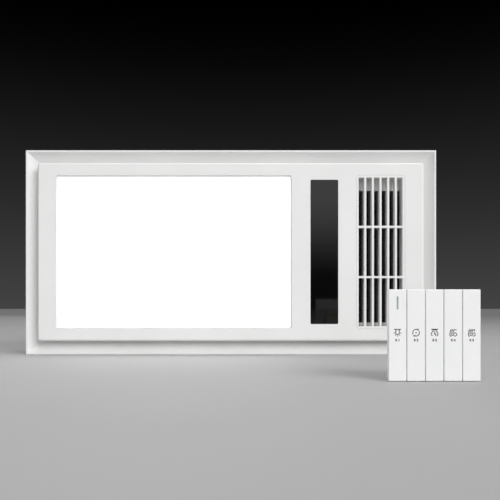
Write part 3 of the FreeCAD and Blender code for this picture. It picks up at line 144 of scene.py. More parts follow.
# moulded plastics: faint flow mottling, a fine tool grain and uneven gloss
plasticLooks = {
    "whiteAbs": {
        "dark": (0.83, 0.83, 0.825), "light": (0.87, 0.87, 0.865), "gloss": (0.34, 0.44),
        "mottle": 9, "grain": 1900, "depth": 0.00002,
    },
    "switchWhite": {
        "dark": (0.94, 0.943, 0.946), "light": (0.963, 0.963, 0.963), "gloss": (0.24, 0.34),
        "mottle": 14, "grain": 2600, "depth": 0.000012,
    },
    "trayWhite": {
        "dark": (0.84, 0.84, 0.82), "light": (0.9, 0.9, 0.88), "gloss": (0.55, 0.7),
        "mottle": 12, "grain": 1500, "depth": 0.00003,
    },
    # the trim's grey is painted shade for the sloped edge round the lit opening
    "trimShadeGrey": {
        "dark": (0.66, 0.66, 0.655), "light": (0.71, 0.71, 0.705), "gloss": (0.6, 0.75),
        "mottle": 12, "grain": 1500, "depth": 0.00003,
    },
    "ductGrey": {
        "dark": (0.42, 0.425, 0.43), "light": (0.48, 0.485, 0.49), "gloss": (0.5, 0.65),
        "mottle": 16, "grain": 1200, "depth": 0.00004,
    },
    "fanBlack": {
        "dark": (0.012, 0.012, 0.012), "light": (0.026, 0.026, 0.027), "gloss": (0.42, 0.6),
        "mottle": 18, "grain": 1300, "depth": 0.00004,
    },
    "capGrey": {
        "dark": (0.92, 0.92, 0.91), "light": (0.96, 0.96, 0.95), "gloss": (0.5, 0.62),
        "mottle": 20, "grain": 1400, "depth": 0.00004,
    },
    "deviceWhite": {
        "dark": (0.72, 0.72, 0.7), "light": (0.79, 0.79, 0.77), "gloss": (0.42, 0.58),
        "mottle": 22, "grain": 1600, "depth": 0.00003,
    },
    "gripRubber": {
        "dark": (0.01, 0.01, 0.01), "light": (0.022, 0.022, 0.022), "gloss": (0.6, 0.8),
        "mottle": 30, "grain": 2200, "depth": 0.00003,
    },
    "phosphor": {
        "dark": (0.8, 0.62, 0.16), "light": (0.9, 0.76, 0.26), "gloss": (0.4, 0.6),
        "mottle": 300, "grain": 4000, "depth": 0.00001,
    },
    "signalLens": {
        "dark": (0.3, 0.35, 0.36), "light": (0.38, 0.43, 0.44), "gloss": (0.15, 0.25),
        "mottle": 200, "grain": 3000, "depth": 0.00001,
    },
    "printInk": {
        "dark": (0.018, 0.019, 0.02), "light": (0.035, 0.036, 0.038), "gloss": (0.45, 0.6),
        "mottle": 700, "grain": 5000, "depth": 0.000004,
    },
}


def mouldedPlastic(name, look):
    mat, tree, shader, place = startFinish(name)
    mottle = addNoise(tree, place, look["mottle"], detail=4.0)
    grain = addNoise(tree, place, look["grain"], detail=2.0, rough=0.6)
    join(tree, addRamp(tree, mottle, look["dark"], look["light"]), shader.inputs["Base Color"])
    join(tree, addRange(tree, grain, *look["gloss"]), shader.inputs["Roughness"])
    addBump(tree, shader, grain, look["depth"], strength=0.6)
    return mat


for finishName, look in plasticLooks.items():
    finishes[finishName] = mouldedPlastic(finishName, look)

# plated or coated metals with fine rolling marks
metalLooks = {
    "zincPlate": {
        "dark": (0.56, 0.56, 0.58), "light": (0.78, 0.78, 0.8), "gloss": (0.22, 0.42),
        "marks": 900, "depth": 0.00002, "metal": 1.0,
    },
    # the tubes' and fins' near-black tone is painted shade, matched to the dark deep in the grille's slots
    "finShadeDark": {
        "dark": (0.01, 0.01, 0.011), "light": (0.06, 0.06, 0.063), "gloss": (0.26, 0.48),
        "marks": 1400, "depth": 0.00003, "metal": 0.45,
    },
    "brassTag": {
        "dark": (0.68, 0.5, 0.21), "light": (0.77, 0.59, 0.27), "gloss": (0.25, 0.4),
        "marks": 2400, "depth": 0.000008, "metal": 1.0,
    },
    "motorEnamel": {
        "dark": (0.03, 0.032, 0.034), "light": (0.06, 0.062, 0.066), "gloss": (0.3, 0.5),
        "marks": 700, "depth": 0.00003, "metal": 0.2,
    },
}


def platedMetal(name, look):
    mat, tree, shader, place = startFinish(name)
    marks = addNoise(tree, place, look["marks"], detail=4.0, rough=0.65)
    join(tree, addRamp(tree, marks, look["dark"], look["light"]), shader.inputs["Base Color"])
    join(tree, addRange(tree, marks, *look["gloss"]), shader.inputs["Roughness"])
    addBump(tree, shader, marks, look["depth"], strength=0.5)
    shader.inputs["Metallic"].default_value = look["metal"]
    return mat


for finishName, look in metalLooks.items():
    finishes[finishName] = platedMetal(finishName, look)

# hot-dip zinc: crystals that each catch the light a little differently
zincLook = {
    "dark": (0.66, 0.67, 0.685), "light": (0.76, 0.77, 0.785), "gloss": (0.3, 0.44),
    "spangle": 150, "streak": 300, "depth": 0.000012,
}


def spangledZinc(name, look):
    mat, tree, shader, place = startFinish(name)
    cells = addNode(tree, "ShaderNodeTexVoronoi", feature="F1")
    cells.inputs["Scale"].default_value = look["spangle"]
    join(tree, place, cells.inputs["Vector"])
    split = addNode(tree, "ShaderNodeSeparateColor")
    join(tree, cells.outputs["Color"], split.inputs["Color"])
    tone = addRamp(tree, split.outputs["Red"], look["dark"], look["light"], start=0.0, end=1.0)
    join(tree, tone, shader.inputs["Base Color"])
    gloss = addRange(tree, split.outputs["Green"], *look["gloss"], start=0.0, end=1.0)
    join(tree, gloss, shader.inputs["Roughness"])
    streak = addNoise(tree, place, look["streak"])
    addBump(tree, shader, streak, look["depth"], strength=0.4)
    shader.inputs["Metallic"].default_value = 1.0
    return mat


finishes["galvanised"] = spangledZinc("galvanised", zincLook)

# polished black glass with the faintest handling film
glassLook = {
    "dark": (0.0006, 0.0006, 0.0007), "light": (0.0012, 0.0012, 0.0014), "gloss": (0.03, 0.07),
    "film": 40, "ior": 1.45,
}


def smokedGlass(name, look):
    mat, tree, shader, place = startFinish(name)
    film = addNoise(tree, place, look["film"])
    join(tree, addRamp(tree, film, look["dark"], look["light"]), shader.inputs["Base Color"])
    join(tree, addRange(tree, film, *look["gloss"]), shader.inputs["Roughness"])
    shader.inputs["IOR"].default_value = look["ior"]
    return mat


finishes["stripGlass"] = smokedGlass("stripGlass", glassLook)

# lit opal acrylic, a shade brighter over the lamp strips, with a fine prism texture
opalLook = {
    "dark": (0.9, 0.9, 0.9), "light": (0.95, 0.95, 0.95), "lamp": (1.0, 1.0, 0.995), "glow": (1.02, 1.16),
    "stripPitch": 0.074, "prism": 420, "depth": 0.0001, "rough": 0.4,
}


def opalSheet(name, look):
    mat, tree, shader, place = startFinish(name)
    split = addNode(tree, "ShaderNodeSeparateXYZ")
    join(tree, place, split.inputs["Vector"])
    wave = addMath(tree, "MULTIPLY", split.outputs["Z"], 2 * math.pi / look["stripPitch"])
    bands = addNode(tree, "ShaderNodeMath", operation="COSINE")
    join(tree, wave, bands.inputs[0])
    glow = addRange(tree, bands.outputs["Value"], *look["glow"], start=-1.0, end=1.0)
    join(tree, glow, shader.inputs["Emission Strength"])
    prism = addNode(tree, "ShaderNodeTexVoronoi", feature="F1")
    prism.inputs["Scale"].default_value = look["prism"]
    prism.inputs["Randomness"].default_value = 0.0  # even rows
    join(tree, place, prism.inputs["Vector"])
    tone = addRamp(tree, prism.outputs["Distance"], look["dark"], look["light"], start=0.0)
    join(tree, tone, shader.inputs["Base Color"])
    addBump(tree, shader, prism.outputs["Distance"], look["depth"], strength=0.3)
    shader.inputs["Roughness"].default_value = look["rough"]
    shader.inputs["Emission Color"].default_value = (*look["lamp"], 1)
    return mat


finishes["opalSheet"] = opalSheet("opalSheet", opalLook)

# solder mask over copper tracks
boardLook = {
    "mask": (0.012, 0.09, 0.035), "maskTwo": (0.015, 0.11, 0.045), "copper": (0.03, 0.2, 0.08),
    "tracks": 160, "offset": 0.37, "trackWide": 0.035, "gloss": (0.35, 0.25), "depth": 0.00005,
}


def circuitBoard(name, look):
    mat, tree, shader, place = startFinish(name)
    tracks = addNode(tree, "ShaderNodeTexBrick", offset=look["offset"])
    tracks.inputs["Scale"].default_value = look["tracks"]
    tracks.inputs["Mortar Size"].default_value = look["trackWide"]
    tracks.inputs["Color1"].default_value = (*look["mask"], 1)
    tracks.inputs["Color2"].default_value = (*look["maskTwo"], 1)
    tracks.inputs["Mortar"].default_value = (*look["copper"], 1)
    turn = addNode(tree, "ShaderNodeMapping")
    turn.inputs["Rotation"].default_value = (math.pi / 2, 0, 0)  # the boards stand in XZ
    join(tree, place, turn.inputs["Vector"])
    join(tree, turn.outputs["Vector"], tracks.inputs["Vector"])
    join(tree, tracks.outputs["Color"], shader.inputs["Base Color"])
    gloss = addRange(tree, tracks.outputs["Fac"], *look["gloss"], start=0.0, end=1.0)
    join(tree, gloss, shader.inputs["Roughness"])
    addBump(tree, shader, tracks.outputs["Fac"], look["depth"], strength=0.6)
    return mat


finishes["solderMask"] = circuitBoard("solderMask", boardLook)

# closed-cell foam, open pores at the cut faces
foamLook = {
    "dark": (0.012, 0.012, 0.012), "light": (0.035, 0.035, 0.035), "rough": 0.9,
    "pores": 900, "depth": 0.0003,
}


def cellFoam(name, look):
    mat, tree, shader, place = startFinish(name)
    pores = addNode(tree, "ShaderNodeTexVoronoi", feature="F1")
    pores.inputs["Scale"].default_value = look["pores"]
    join(tree, place, pores.inputs["Vector"])
    tone = addRamp(tree, pores.outputs["Distance"], look["dark"], look["light"], start=0.1, end=0.6)
    join(tree, tone, shader.inputs["Base Color"])
    addBump(tree, shader, pores.outputs["Distance"], look["depth"])
    shader.inputs["Roughness"].default_value = look["rough"]
    return mat


finishes["foamBlack"] = cellFoam("foamBlack", foamLook)
print("finishes:", len(finishes))

# which CAD pieces wear which finish
wears = {
    "whiteAbs": ["panel_frame", "face_plate", "air_grille"],
    "switchWhite": [
        "rocker_light", "rocker_vent", "rocker_blow", "rocker_heat_low", "rocker_heat_high", "switch_frame",
    ],
    "opalSheet": ["light_diffuser"],
    "trayWhite": ["light_tray"],
    "solderMask": ["light_boards", "display_board", "control_board"],
    "phosphor": ["light_chips"],
    "stripGlass": ["display_glass"],
    "foamBlack": ["duct_gasket"],
    "galvanised": ["mounting_frame", "housing", "partition_plate", "junction_cover"],
    "zincPlate": [
        "plate_screws", "tray_screws", "housing_screws", "partition_screws", "spigot_screws",
        "diverter_screws", "volute_screws", "motor_screws", "junction_screws", "damper_rod",
        "motor_shaft", "shaft_nut", "diverter_shaft", "rocker_rod",
    ],
    "ductGrey": ["outlet_duct", "diverter_flap"],
    "fanBlack": [
        "volute", "impeller", "exhaust_spigot", "damper_leaf_front", "damper_leaf_rear",
        "run_capacitor", "board_relays",
    ],
    "capGrey": ["heater_frame"],
    "finShadeDark": ["heater_tubes", "heater_fins"],
    "brassTag": ["heater_terminals", "switch_terminals"],
    "motorEnamel": ["motor_body", "diverter_motor"],
    "deviceWhite": ["thermal_cutout", "terminal_block", "light_driver", "board_posts", "switch_base"],
    "gripRubber": ["cable_grommet"],
    "signalLens": ["indicator_lens"],
}

for finishName, wearers in wears.items():
    for nodeName in wearers:
        nodes[nodeName].data.materials.clear()
        nodes[nodeName].data.materials.append(finishes[finishName])
print("finished nodes:", sum(len(wearers) for wearers in wears.values()))


# geometry trees: named sizes in, one dressed mesh out

def startTree(name, sizes):
    tree = bpy.data.node_groups.new(name, "GeometryNodeTree")
    tree.interface.new_socket("Geometry", in_out="INPUT", socket_type="NodeSocketGeometry")
    for size in sizes:
        tree.interface.new_socket(size, in_out="INPUT", socket_type="NodeSocketFloat")
    tree.interface.new_socket("finish", in_out="INPUT", socket_type="NodeSocketMaterial")
    tree.interface.new_socket("Geometry", in_out="OUTPUT", socket_type="NodeSocketGeometry")
    return tree, addNode(tree, "NodeGroupInput").outputs


def closeTree(tree, given, shape):
    whole = addNode(tree, "GeometryNodeRealizeInstances")
    dress = addNode(tree, "GeometryNodeSetMaterial")
    end = addNode(tree, "NodeGroupOutput")
    join(tree, shape, whole.inputs["Geometry"])
    join(tree, whole.outputs["Geometry"], dress.inputs["Geometry"])
    join(tree, given["finish"], dress.inputs["Material"])
    join(tree, dress.outputs["Geometry"], end.inputs["Geometry"])


def moved(tree, shape, move=None, size=None, turn=None):
    step = addNode(tree, "GeometryNodeTransform")
    join(tree, shape, step.inputs["Geometry"])
    if move is not None:
        join(tree, move, step.inputs["Translation"])
    if size is not None:
        join(tree, size, step.inputs["Scale"])
    if turn is not None:
        step.inputs["Rotation"].default_value = turn
    return step.outputs["Geometry"]


def vector(tree, x=0.0, y=0.0, z=0.0):
    trio = addNode(tree, "ShaderNodeCombineXYZ")
    feed(tree, (x, y, z), trio.inputs)
    return trio.outputs["Vector"]


def grow(name, seed, tree, values):
    # runs a tree on a seed mesh and keeps the result as a plain mesh
    holder = bpy.data.objects.new(name + "Seed", seed)
    scene.collection.objects.link(holder)
    modifier = holder.modifiers.new("grow", "NODES")
    modifier.node_group = tree
    for socket in tree.interface.items_tree:
        if socket.in_out == "INPUT" and socket.name in values:
            modifier[socket.identifier] = values[socket.name]
    graph = bpy.context.evaluated_depsgraph_get()
    mesh = bpy.data.meshes.new_from_object(holder.evaluated_get(graph), depsgraph=graph)
    mesh.name = name
    holder.modifiers.remove(modifier)
    bpy.data.objects.remove(holder)
    return mesh


def settle(name, mesh, body, crease=None):
    # puts a finished mesh into the scene, on its body; a crease in degrees keeps harder edges sharp
    piece = bpy.data.objects.new(name, mesh)
    scene.collection.objects.link(piece)
    if crease is not None:
        mesh.shade_smooth()
        mesh.set_sharp_from_angle(angle=math.radians(crease))
    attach(piece, body)
    return piece


def meshFrom(shape, name, finish):
    # the plain mesh of a skinned shape, faces outwards
    bmesh.ops.recalc_face_normals(shape, faces=shape.faces)
    mesh = bpy.data.meshes.new(name)
    shape.to_mesh(mesh)
    shape.free()
    mesh.materials.append(finishes[finish])
    return mesh


# printed signs on the rockers: a pictogram, drawn in millimetres, and a plain number below it
signLook = {
    "unit": 0.001, "rise": 0.0024, "stroke": 0.0008, "nibSides": 8, "ink": 0.00012,
    "numberDrop": 0.0046, "numberTall": 0.002, "numberShare": 0.7, "numberSpace": 1.8, "numberBold": 0.00018,
}


def bar(x0, z0, x1, z1):
    return [(x0, z0), (x1, z1)]


def arc(x, z, radius, start, end, steps=14):
    angles = [math.radians(start + (end - start) * i / steps) for i in range(steps + 1)]
    return [(x + radius * math.cos(angle), z + radius * math.sin(angle)) for angle in angles]


def wave(x, low, high, swing, turns, steps=12):
    ways = [i / steps for i in range(steps + 1)]
    return [(x + swing * math.sin(2 * math.pi * turns * way), high + (low - high) * way) for way in ways]


def tip(x, z, heading, size=1.0):
    # closed arrow head that points along its heading
    corners = [math.radians(heading + turn) for turn in (0, 130, 230, 0)]
    return [(x + size * math.cos(corner), z + size * math.sin(corner)) for corner in corners]


def mirrored(line):
    return [(-x, z) for x, z in line]


def lampSign():
    # a bulb with rays, hung from a line
    height, bulb, rayStart, rayEnd = 0.2, 1.8, 2.6, 3.6
    shade = [(-2.0, 2.8), (-1.3, 1.7)]
    lines = [bar(-3.3, 3.1, 3.3, 3.1), shade, mirrored(shade), arc(0, height, bulb, -230, 50)]
    centre = Vector((0, height))
    for angle in (-172, -130, -90, -50, -8):
        along = Vector((math.cos(math.radians(angle)), math.sin(math.radians(angle))))
        lines.append(bar(*(along * rayStart + centre), *(along * rayEnd + centre)))
    return lines


def ventSign():
    # two arrows that turn round a short bar
    ring = 3.1
    lines = [arc(0, 0, ring, 72, 208), arc(0, 0, ring, 252, 388), bar(-0.8, 0, 0.8, 0)]
    lines += [tip(1.6, 2.8, -30), tip(-1.6, -2.8, 150)]
    return lines


def blowSign():
    # a round fan under two lines, with a stream of air
    side = [(-0.9, 1.8), (-1.9, 1.1), (-2.7, 0.1), (-3.1, -1.0), (-2.9, -2.1), (-2.2, -3.0)]
    lines = [bar(-3.2, 3.2, 3.2, 3.2), bar(-2.4, 2.7, 2.4, 2.7), side, mirrored(side)]
    lines += [wave(-0.3, -1.8, 1.2, 0.4, 0.5), wave(0.8, -3.0, -0.8, 0.3, 0.5)]
    return lines


def heatSign(bars):
    # rising heat over a blower, and bars for its level
    barTop, barStep = 2.8, 1.1
    lines = [wave(x, 0.7, 3.3, 0.4, 1.0) for x in (-2.4, -0.9, 0.6)]
    lines += [bar(1.7, barTop - i * barStep, 3.1, barTop - i * barStep) for i in range(bars)]
    lines += [arc(-0.5, -1.4, 1.2, 0, 360, 18), arc(-0.7, -1.4, 2.5, 125, 240)]
    lines.append([(0.9, -0.1), (2.6, -0.3), (3.2, -1.2), (3.1, -2.3), (2.3, -3.0), (1.0, -3.1)])
    return lines


def buildStrokeTree():
    # drawn lines become flat rounded strokes of ink
    tree, given = startTree("inkStrokes", ["stroke", "ink", "face"])
    curve = addNode(tree, "GeometryNodeMeshToCurve")
    join(tree, given["Geometry"], curve.inputs["Mesh"])
    nib = addNode(tree, "GeometryNodeCurvePrimitiveCircle")
    nib.inputs["Resolution"].default_value = signLook["nibSides"]
    join(tree, addMath(tree, "MULTIPLY", given["stroke"], 0.5), nib.inputs["Radius"])
    sweep = addNode(tree, "GeometryNodeCurveToMesh")
    sweep.inputs["Fill Caps"].default_value = True
    join(tree, curve.outputs["Curve"], sweep.inputs["Curve"])
    join(tree, nib.outputs["Curve"], sweep.inputs["Profile Curve"])
    flat = addMath(tree, "DIVIDE", given["ink"], given["stroke"])
    size = vector(tree, 1.0, flat, 1.0)
    closeTree(tree, given, moved(tree, sweep.outputs["Mesh"], vector(tree, 0.0, given["face"], 0.0), size))
    return tree


def lineMesh(name, lines, centre):
    points, edges = [], []
    for line in lines:
        first = len(points)
        points += [(centre.x + x * signLook["unit"], 0, centre.z + z * signLook["unit"]) for x, z in line]
        edges += [(first + i, first + i + 1) for i in range(len(line) - 1)]
    mesh = bpy.data.meshes.new(name)
    mesh.from_pydata(points, edges, [])
    return mesh


def numberMesh(digits, centre, face):
    text = bpy.data.curves.new("keyNumber", "FONT")
    text.body = digits
    text.size = signLook["numberTall"] / signLook["numberShare"]  # a digit fills that share of its size
    text.space_character = signLook["numberSpace"]
    text.align_x = "CENTER"
    text.align_y = "CENTER"
    text.extrude = signLook["ink"] / 2
    text.offset = signLook["numberBold"]
    holder = bpy.data.objects.new("keyNumber", text)
    scene.collection.objects.link(holder)
    graph = bpy.context.evaluated_depsgraph_get()
    mesh = bpy.data.meshes.new_from_object(holder.evaluated_get(graph), depsgraph=graph)
    bpy.data.objects.remove(holder)
    stand = Matrix.Rotation(math.pi / 2, 4, "X")
    mesh.transform(Matrix.Translation((centre.x, face, centre.z - signLook["numberDrop"])) @ stand)
    return mesh


def printSigns():
    tree = buildStrokeTree()
    signs = {
        "light": lampSign(), "vent": ventSign(), "blow": blowSign(),
        "heat_low": heatSign(1), "heat_high": heatSign(2),
    }
    for count, (key, lines) in enumerate(signs.items(), 1):
        low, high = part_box("rocker_" + key)
        middle = (low + high) / 2
        iconSpot = middle + Vector((0, 0, signLook["rise"]))
        name = "sign_" + key
        values = {
            "stroke": signLook["stroke"], "ink": signLook["ink"], "face": low.y,
            "finish": finishes["printInk"],
        }
        icon = grow(name, lineMesh(name + "Lines", lines, iconSpot), tree, values)
        both = bmesh.new()
        both.from_mesh(icon)
        both.from_mesh(numberMesh("0" + str(count), middle, low.y))
        for face in both.faces:
            face.material_index = 0
        both.to_mesh(icon)
        both.free()
        settle(name, icon, key + "_key")


printSigns()
print("rocker signs printed")

# screws with a domed head and a driven recess stand for the plain CAD ones
screwLook = {
    "dome": 0.0008, "recessLong": 0.0036, "recessWide": 0.0007, "recessDeep": 0.0011, "recessShare": 0.75,
    "sides": 24, "rings": 5, "crease": 35, "topShare": 0.9, "headWidth": 0.0064, "weld": 1e-6,
    "rimShare": 0.97, "shankShare": 0.9, "shankGuess": 0.5, "terminalSeed": 20,
}
screwNodes = [nodeName for nodeName in wears["zincPlate"] if nodeName.endswith("_screws")]


def domedHead(tree, given):
    # a short cylinder whose top falls away towards its edge
    head = addNode(tree, "GeometryNodeMeshCylinder")
    head.inputs["Vertices"].default_value = screwLook["sides"]
    head.inputs["Fill Segments"].default_value = screwLook["rings"]
    join(tree, given["headRadius"], head.inputs["Radius"])
    join(tree, given["headTall"], head.inputs["Depth"])
    lift = vector(tree, 0.0, 0.0, addMath(tree, "MULTIPLY", given["headTall"], 0.5))
    cap = moved(tree, head.outputs["Mesh"], lift)
    spot = addNode(tree, "ShaderNodeSeparateXYZ")
    join(tree, addNode(tree, "GeometryNodeInputPosition").outputs["Position"], spot.inputs["Vector"])
    square = addMath(tree, "ADD", addMath(tree, "POWER", spot.outputs["X"], 2.0),
                     addMath(tree, "POWER", spot.outputs["Y"], 2.0))
    share = addMath(tree, "DIVIDE", square, addMath(tree, "POWER", given["headRadius"], 2.0))
    edge = addMath(tree, "MULTIPLY", given["headTall"], screwLook["topShare"])
    onTop = addMath(tree, "GREATER_THAN", spot.outputs["Z"], edge)
    fall = addMath(tree, "MULTIPLY", addMath(tree, "MULTIPLY", share, given["dome"]), -1.0)
    crown = addNode(tree, "GeometryNodeSetPosition")
    join(tree, cap, crown.inputs["Geometry"])
    join(tree, onTop, crown.inputs["Selection"])
    join(tree, vector(tree, 0.0, 0.0, fall), crown.inputs["Offset"])
    return crown.outputs["Geometry"]


def standOnSpots(tree, given, shape):
    # each copy stands along its own aim, stopped at its own turn
    aim = addNode(tree, "GeometryNodeInputNamedAttribute", data_type="FLOAT_VECTOR")
    aim.inputs["Name"].default_value = "aim"
    stand = addNode(tree, "FunctionNodeAlignRotationToVector", axis="Z")
    join(tree, aim.outputs["Attribute"], stand.inputs["Vector"])
    copies = addNode(tree, "GeometryNodeInstanceOnPoints")
    join(tree, given["Geometry"], copies.inputs["Points"])
    join(tree, shape, copies.inputs["Instance"])
    join(tree, stand.outputs["Rotation"], copies.inputs["Rotation"])
    chance = addNode(tree, "FunctionNodeRandomValue", data_type="FLOAT")
    chance.inputs[3].default_value = 2 * math.pi  # the most it turns
    join(tree, given["seed"], chance.inputs["Seed"])
    spin = addNode(tree, "GeometryNodeRotateInstances")
    join(tree, copies.outputs["Instances"], spin.inputs["Instances"])
    join(tree, vector(tree, 0.0, 0.0, chance.outputs[1]), spin.inputs["Rotation"])
    return spin.outputs["Instances"]


def buildScrewTree(name, slots, hasShank):
    # one slot, or two that cross, turned to miss the spokes of the head's mesh
    sizes = ["headRadius", "headTall", "shankRadius", "shankLong", "dome", "long", "wide", "deep", "seed"]
    tree, given = startTree(name, sizes)
    carve = addNode(tree, "GeometryNodeMeshBoolean", operation="DIFFERENCE", solver="EXACT")
    join(tree, domedHead(tree, given), carve.inputs["Mesh 1"])
    blade = addNode(tree, "GeometryNodeMeshCube")
    bladeTall = addMath(tree, "MULTIPLY", given["deep"], 2.0)
    join(tree, vector(tree, given["long"], given["wide"], bladeTall), blade.inputs["Size"])
    onHead = vector(tree, 0.0, 0.0, given["headTall"])
    for i in range(slots):
        turn = math.pi / screwLook["sides"] + i * math.pi / 2
        tool = moved(tree, blade.outputs["Mesh"], onHead, turn=(0, 0, turn))
        join(tree, tool, carve.inputs["Mesh 2"])
    whole = addNode(tree, "GeometryNodeJoinGeometry")
    join(tree, carve.outputs["Mesh"], whole.inputs["Geometry"])
    if hasShank:
        shank = addNode(tree, "GeometryNodeMeshCylinder")
        shank.inputs["Vertices"].default_value = screwLook["sides"] // 2
        join(tree, given["shankRadius"], shank.inputs["Radius"])
        join(tree, given["shankLong"], shank.inputs["Depth"])
        sink = vector(tree, 0.0, 0.0, addMath(tree, "MULTIPLY", given["shankLong"], -0.5))
        join(tree, moved(tree, shank.outputs["Mesh"], sink), whole.inputs["Geometry"])
    closeTree(tree, given, standOnSpots(tree, given, whole.outputs["Geometry"]))
    return tree


def spotMesh(name, spots, aims):
    mesh = bpy.data.meshes.new(name)
    mesh.from_pydata(spots, [], [])
    attribute = mesh.attributes.new("aim", "FLOAT_VECTOR", "POINT")
    for i, aim in enumerate(aims):
        attribute.data[i].vector = aim
    return mesh


def looseParts(nodeName):
    # the separate solids of a CAD node, as lists of points
    shape = bmesh.new()
    shape.from_mesh(nodes[nodeName].data)
    bmesh.ops.remove_doubles(shape, verts=shape.verts, dist=screwLook["weld"])
    parts, seen = [], set()
    for start in shape.verts:
        if start in seen:
            continue
        seen.add(start)
        queue, part = [start], []
        while queue:
            vert = queue.pop()
            part.append(vert.co.copy())
            for edge in vert.link_edges:
                near = edge.other_vert(vert)
                if near not in seen:
                    seen.add(near)
                    queue.append(near)
        parts.append(part)
    shape.free()
    return parts


def measureScrew(points, axis, way):
    # seat, aim and sizes of one CAD screw along the given axis; way 0 means that its head shows the way
    low = Vector(min(point[i] for point in points) for i in range(3))
    high = Vector(max(point[i] for point in points) for i in range(3))
    line = (low + high) / 2
    offs = []
    for point in points:
        off = point - line
        off[axis] = 0
        offs.append((off.length, point[axis]))
    headRadius = max(off for off, along in offs)
    rim = [along for off, along in offs if off > headRadius * screwLook["rimShare"]]
    shank = [off for off, along in offs if off < headRadius * screwLook["shankShare"]]
    atTop = way > 0 or way == 0 and high[axis] - max(rim) < min(rim) - low[axis]
    seat = min(rim) if atTop else max(rim)
    end = low[axis] if atTop else high[axis]
    spot = line.copy()
    spot[axis] = seat
    aim = Vector((0, 0, 0))
    aim[axis] = 1 if atTop else -1
    sizes = {
        "headRadius": headRadius, "headTall": max(rim) - min(rim),
        "shankRadius": max(shank, default=headRadius * screwLook["shankGuess"]), "shankLong": abs(end - seat),
    }
    return spot, aim, sizes


def longAxis(points, width):
    # the axis whose span differs most from the head's width
    spans = []
    for i in range(3):
        along = [point[i] for point in points]
        spans.append(abs(max(along) - min(along) - width))
    return spans.index(max(spans))


def fitScrews(nodeName, tree, finish, seed, axis=None, way=0):
    # one piece with all screws of a CAD node, which are alike
    spots, aims, sizes = [], [], None
    for part in looseParts(nodeName):
        along = longAxis(part, screwLook["headWidth"]) if axis is None else axis
        spot, aim, sizes = measureScrew(part, along, way)
        spots.append(spot)
        aims.append(aim)
    mesh = spotMesh(nodeName + "Spots", spots, aims)
    values = {
        **sizes, "dome": screwLook["dome"], "long": screwLook["recessLong"], "wide": screwLook["recessWide"],
        "deep": min(screwLook["recessDeep"], sizes["headTall"] * screwLook["recessShare"]),
        "seed": float(seed), "finish": finishes[finish],
    }
    name = nodeName + "_fitted"
    piece = settle(name, grow(name, mesh, tree, values), "unit", screwLook["crease"])
    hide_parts(nodeName)
    return len(spots), sizes


crossTree = buildScrewTree("crossScrew", slots=2, hasShank=True)
for count, nodeName in enumerate(screwNodes):
    print(nodeName, fitScrews(nodeName, crossTree, "zincPlate", count))
slotTree = buildScrewTree("slotScrew", slots=1, hasShank=False)
terminalSeed = screwLook["terminalSeed"]
terminals = fitScrews("switch_terminals", slotTree, "brassTag", terminalSeed, axis=1, way=1)
print("switch_terminals", terminals)
print("screws fitted")

# pop rivets along the folds of the sheet-metal housing
rivetLook = {
    "headRadius": 0.0025, "headTall": 0.0012, "sunk": 0.0004, "dome": 0.0006,
    "holeRadius": 0.0009, "holeDeep": 0.0005, "seed": 40.0, "crease": 40,
    "fromFold": 0.009, "fromEnd": 0.016, "upright": 4, "onTop": 4, "below": 6,
    "leastWall": 0.008, "leastFacing": 0.999, "levelDigits": 4,
}


def wallLevels(axis, way):
    # where the housing's large flat walls that face this way lie along the axis
    areas = collections.Counter()
    for wall in nodes["housing"].data.polygons:
        if wall.normal[axis] * way > rivetLook["leastFacing"]:
            areas[round(wall.center[axis], rivetLook["levelDigits"])] += wall.area
    return sorted(level for level, area in areas.items() if area > rivetLook["leastWall"])


def evenly(start, end, count):
    return [start + (end - start) * i / (count - 1) for i in range(count)]


def foldRows():
    # the housing is a shallow pan with a deep box on its right, folded from sheet
    panLeft, boxLeft = wallLevels(0, -1)[:2]
    boxRight = wallLevels(0, 1)[-1]
    panBack, boxBack = wallLevels(1, 1)[-2:]
    under, top = wallLevels(2, -1)[0], wallLevels(2, 1)[-1]
    fold, end = rivetLook["fromFold"], rivetLook["fromEnd"]
    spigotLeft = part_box("exhaust_spigot")[0].x
    heights = evenly(under + end, top - end, rivetLook["upright"])
    topRow = evenly(boxLeft + end, spigotLeft - end, rivetLook["onTop"])
    lowRow = evenly(boxLeft + end, boxRight - end, rivetLook["below"])
    return [
        {"aim": (0, 1, 0), "x": [boxLeft + fold, boxRight - fold], "y": [boxBack], "z": heights},
        {"aim": (1, 0, 0), "x": [boxRight], "y": [boxBack - fold], "z": heights},
        {"aim": (-1, 0, 0), "x": [boxLeft], "y": [boxBack - fold], "z": heights},
        {"aim": (0, 0, 1), "x": topRow, "y": [boxBack - fold], "z": [top]},
        {"aim": (0, 0, -1), "x": lowRow, "y": [boxBack - fold], "z": [under]},
        {"aim": (0, 1, 0), "x": [panLeft + fold], "y": [panBack], "z": heights},
        {"aim": (-1, 0, 0), "x": [panLeft], "y": [panBack - fold], "z": heights},
    ]


def buildRivetTree():
    tree, given = startTree("popRivet", ["headRadius", "headTall", "dome", "holeRadius", "holeDeep", "seed"])
    drill = addNode(tree, "GeometryNodeMeshCylinder")
    drill.inputs["Vertices"].default_value = screwLook["sides"] // 2
    join(tree, given["holeRadius"], drill.inputs["Radius"])
    join(tree, addMath(tree, "MULTIPLY", given["holeDeep"], 2.0), drill.inputs["Depth"])
    onHead = vector(tree, 0.0, 0.0, given["headTall"])
    tool = moved(tree, drill.outputs["Mesh"], onHead, turn=(0, 0, math.pi / screwLook["sides"]))
    carve = addNode(tree, "GeometryNodeMeshBoolean", operation="DIFFERENCE", solver="EXACT")
    join(tree, domedHead(tree, given), carve.inputs["Mesh 1"])
    join(tree, tool, carve.inputs["Mesh 2"])
    closeTree(tree, given, standOnSpots(tree, given, carve.outputs["Mesh"]))
    return tree


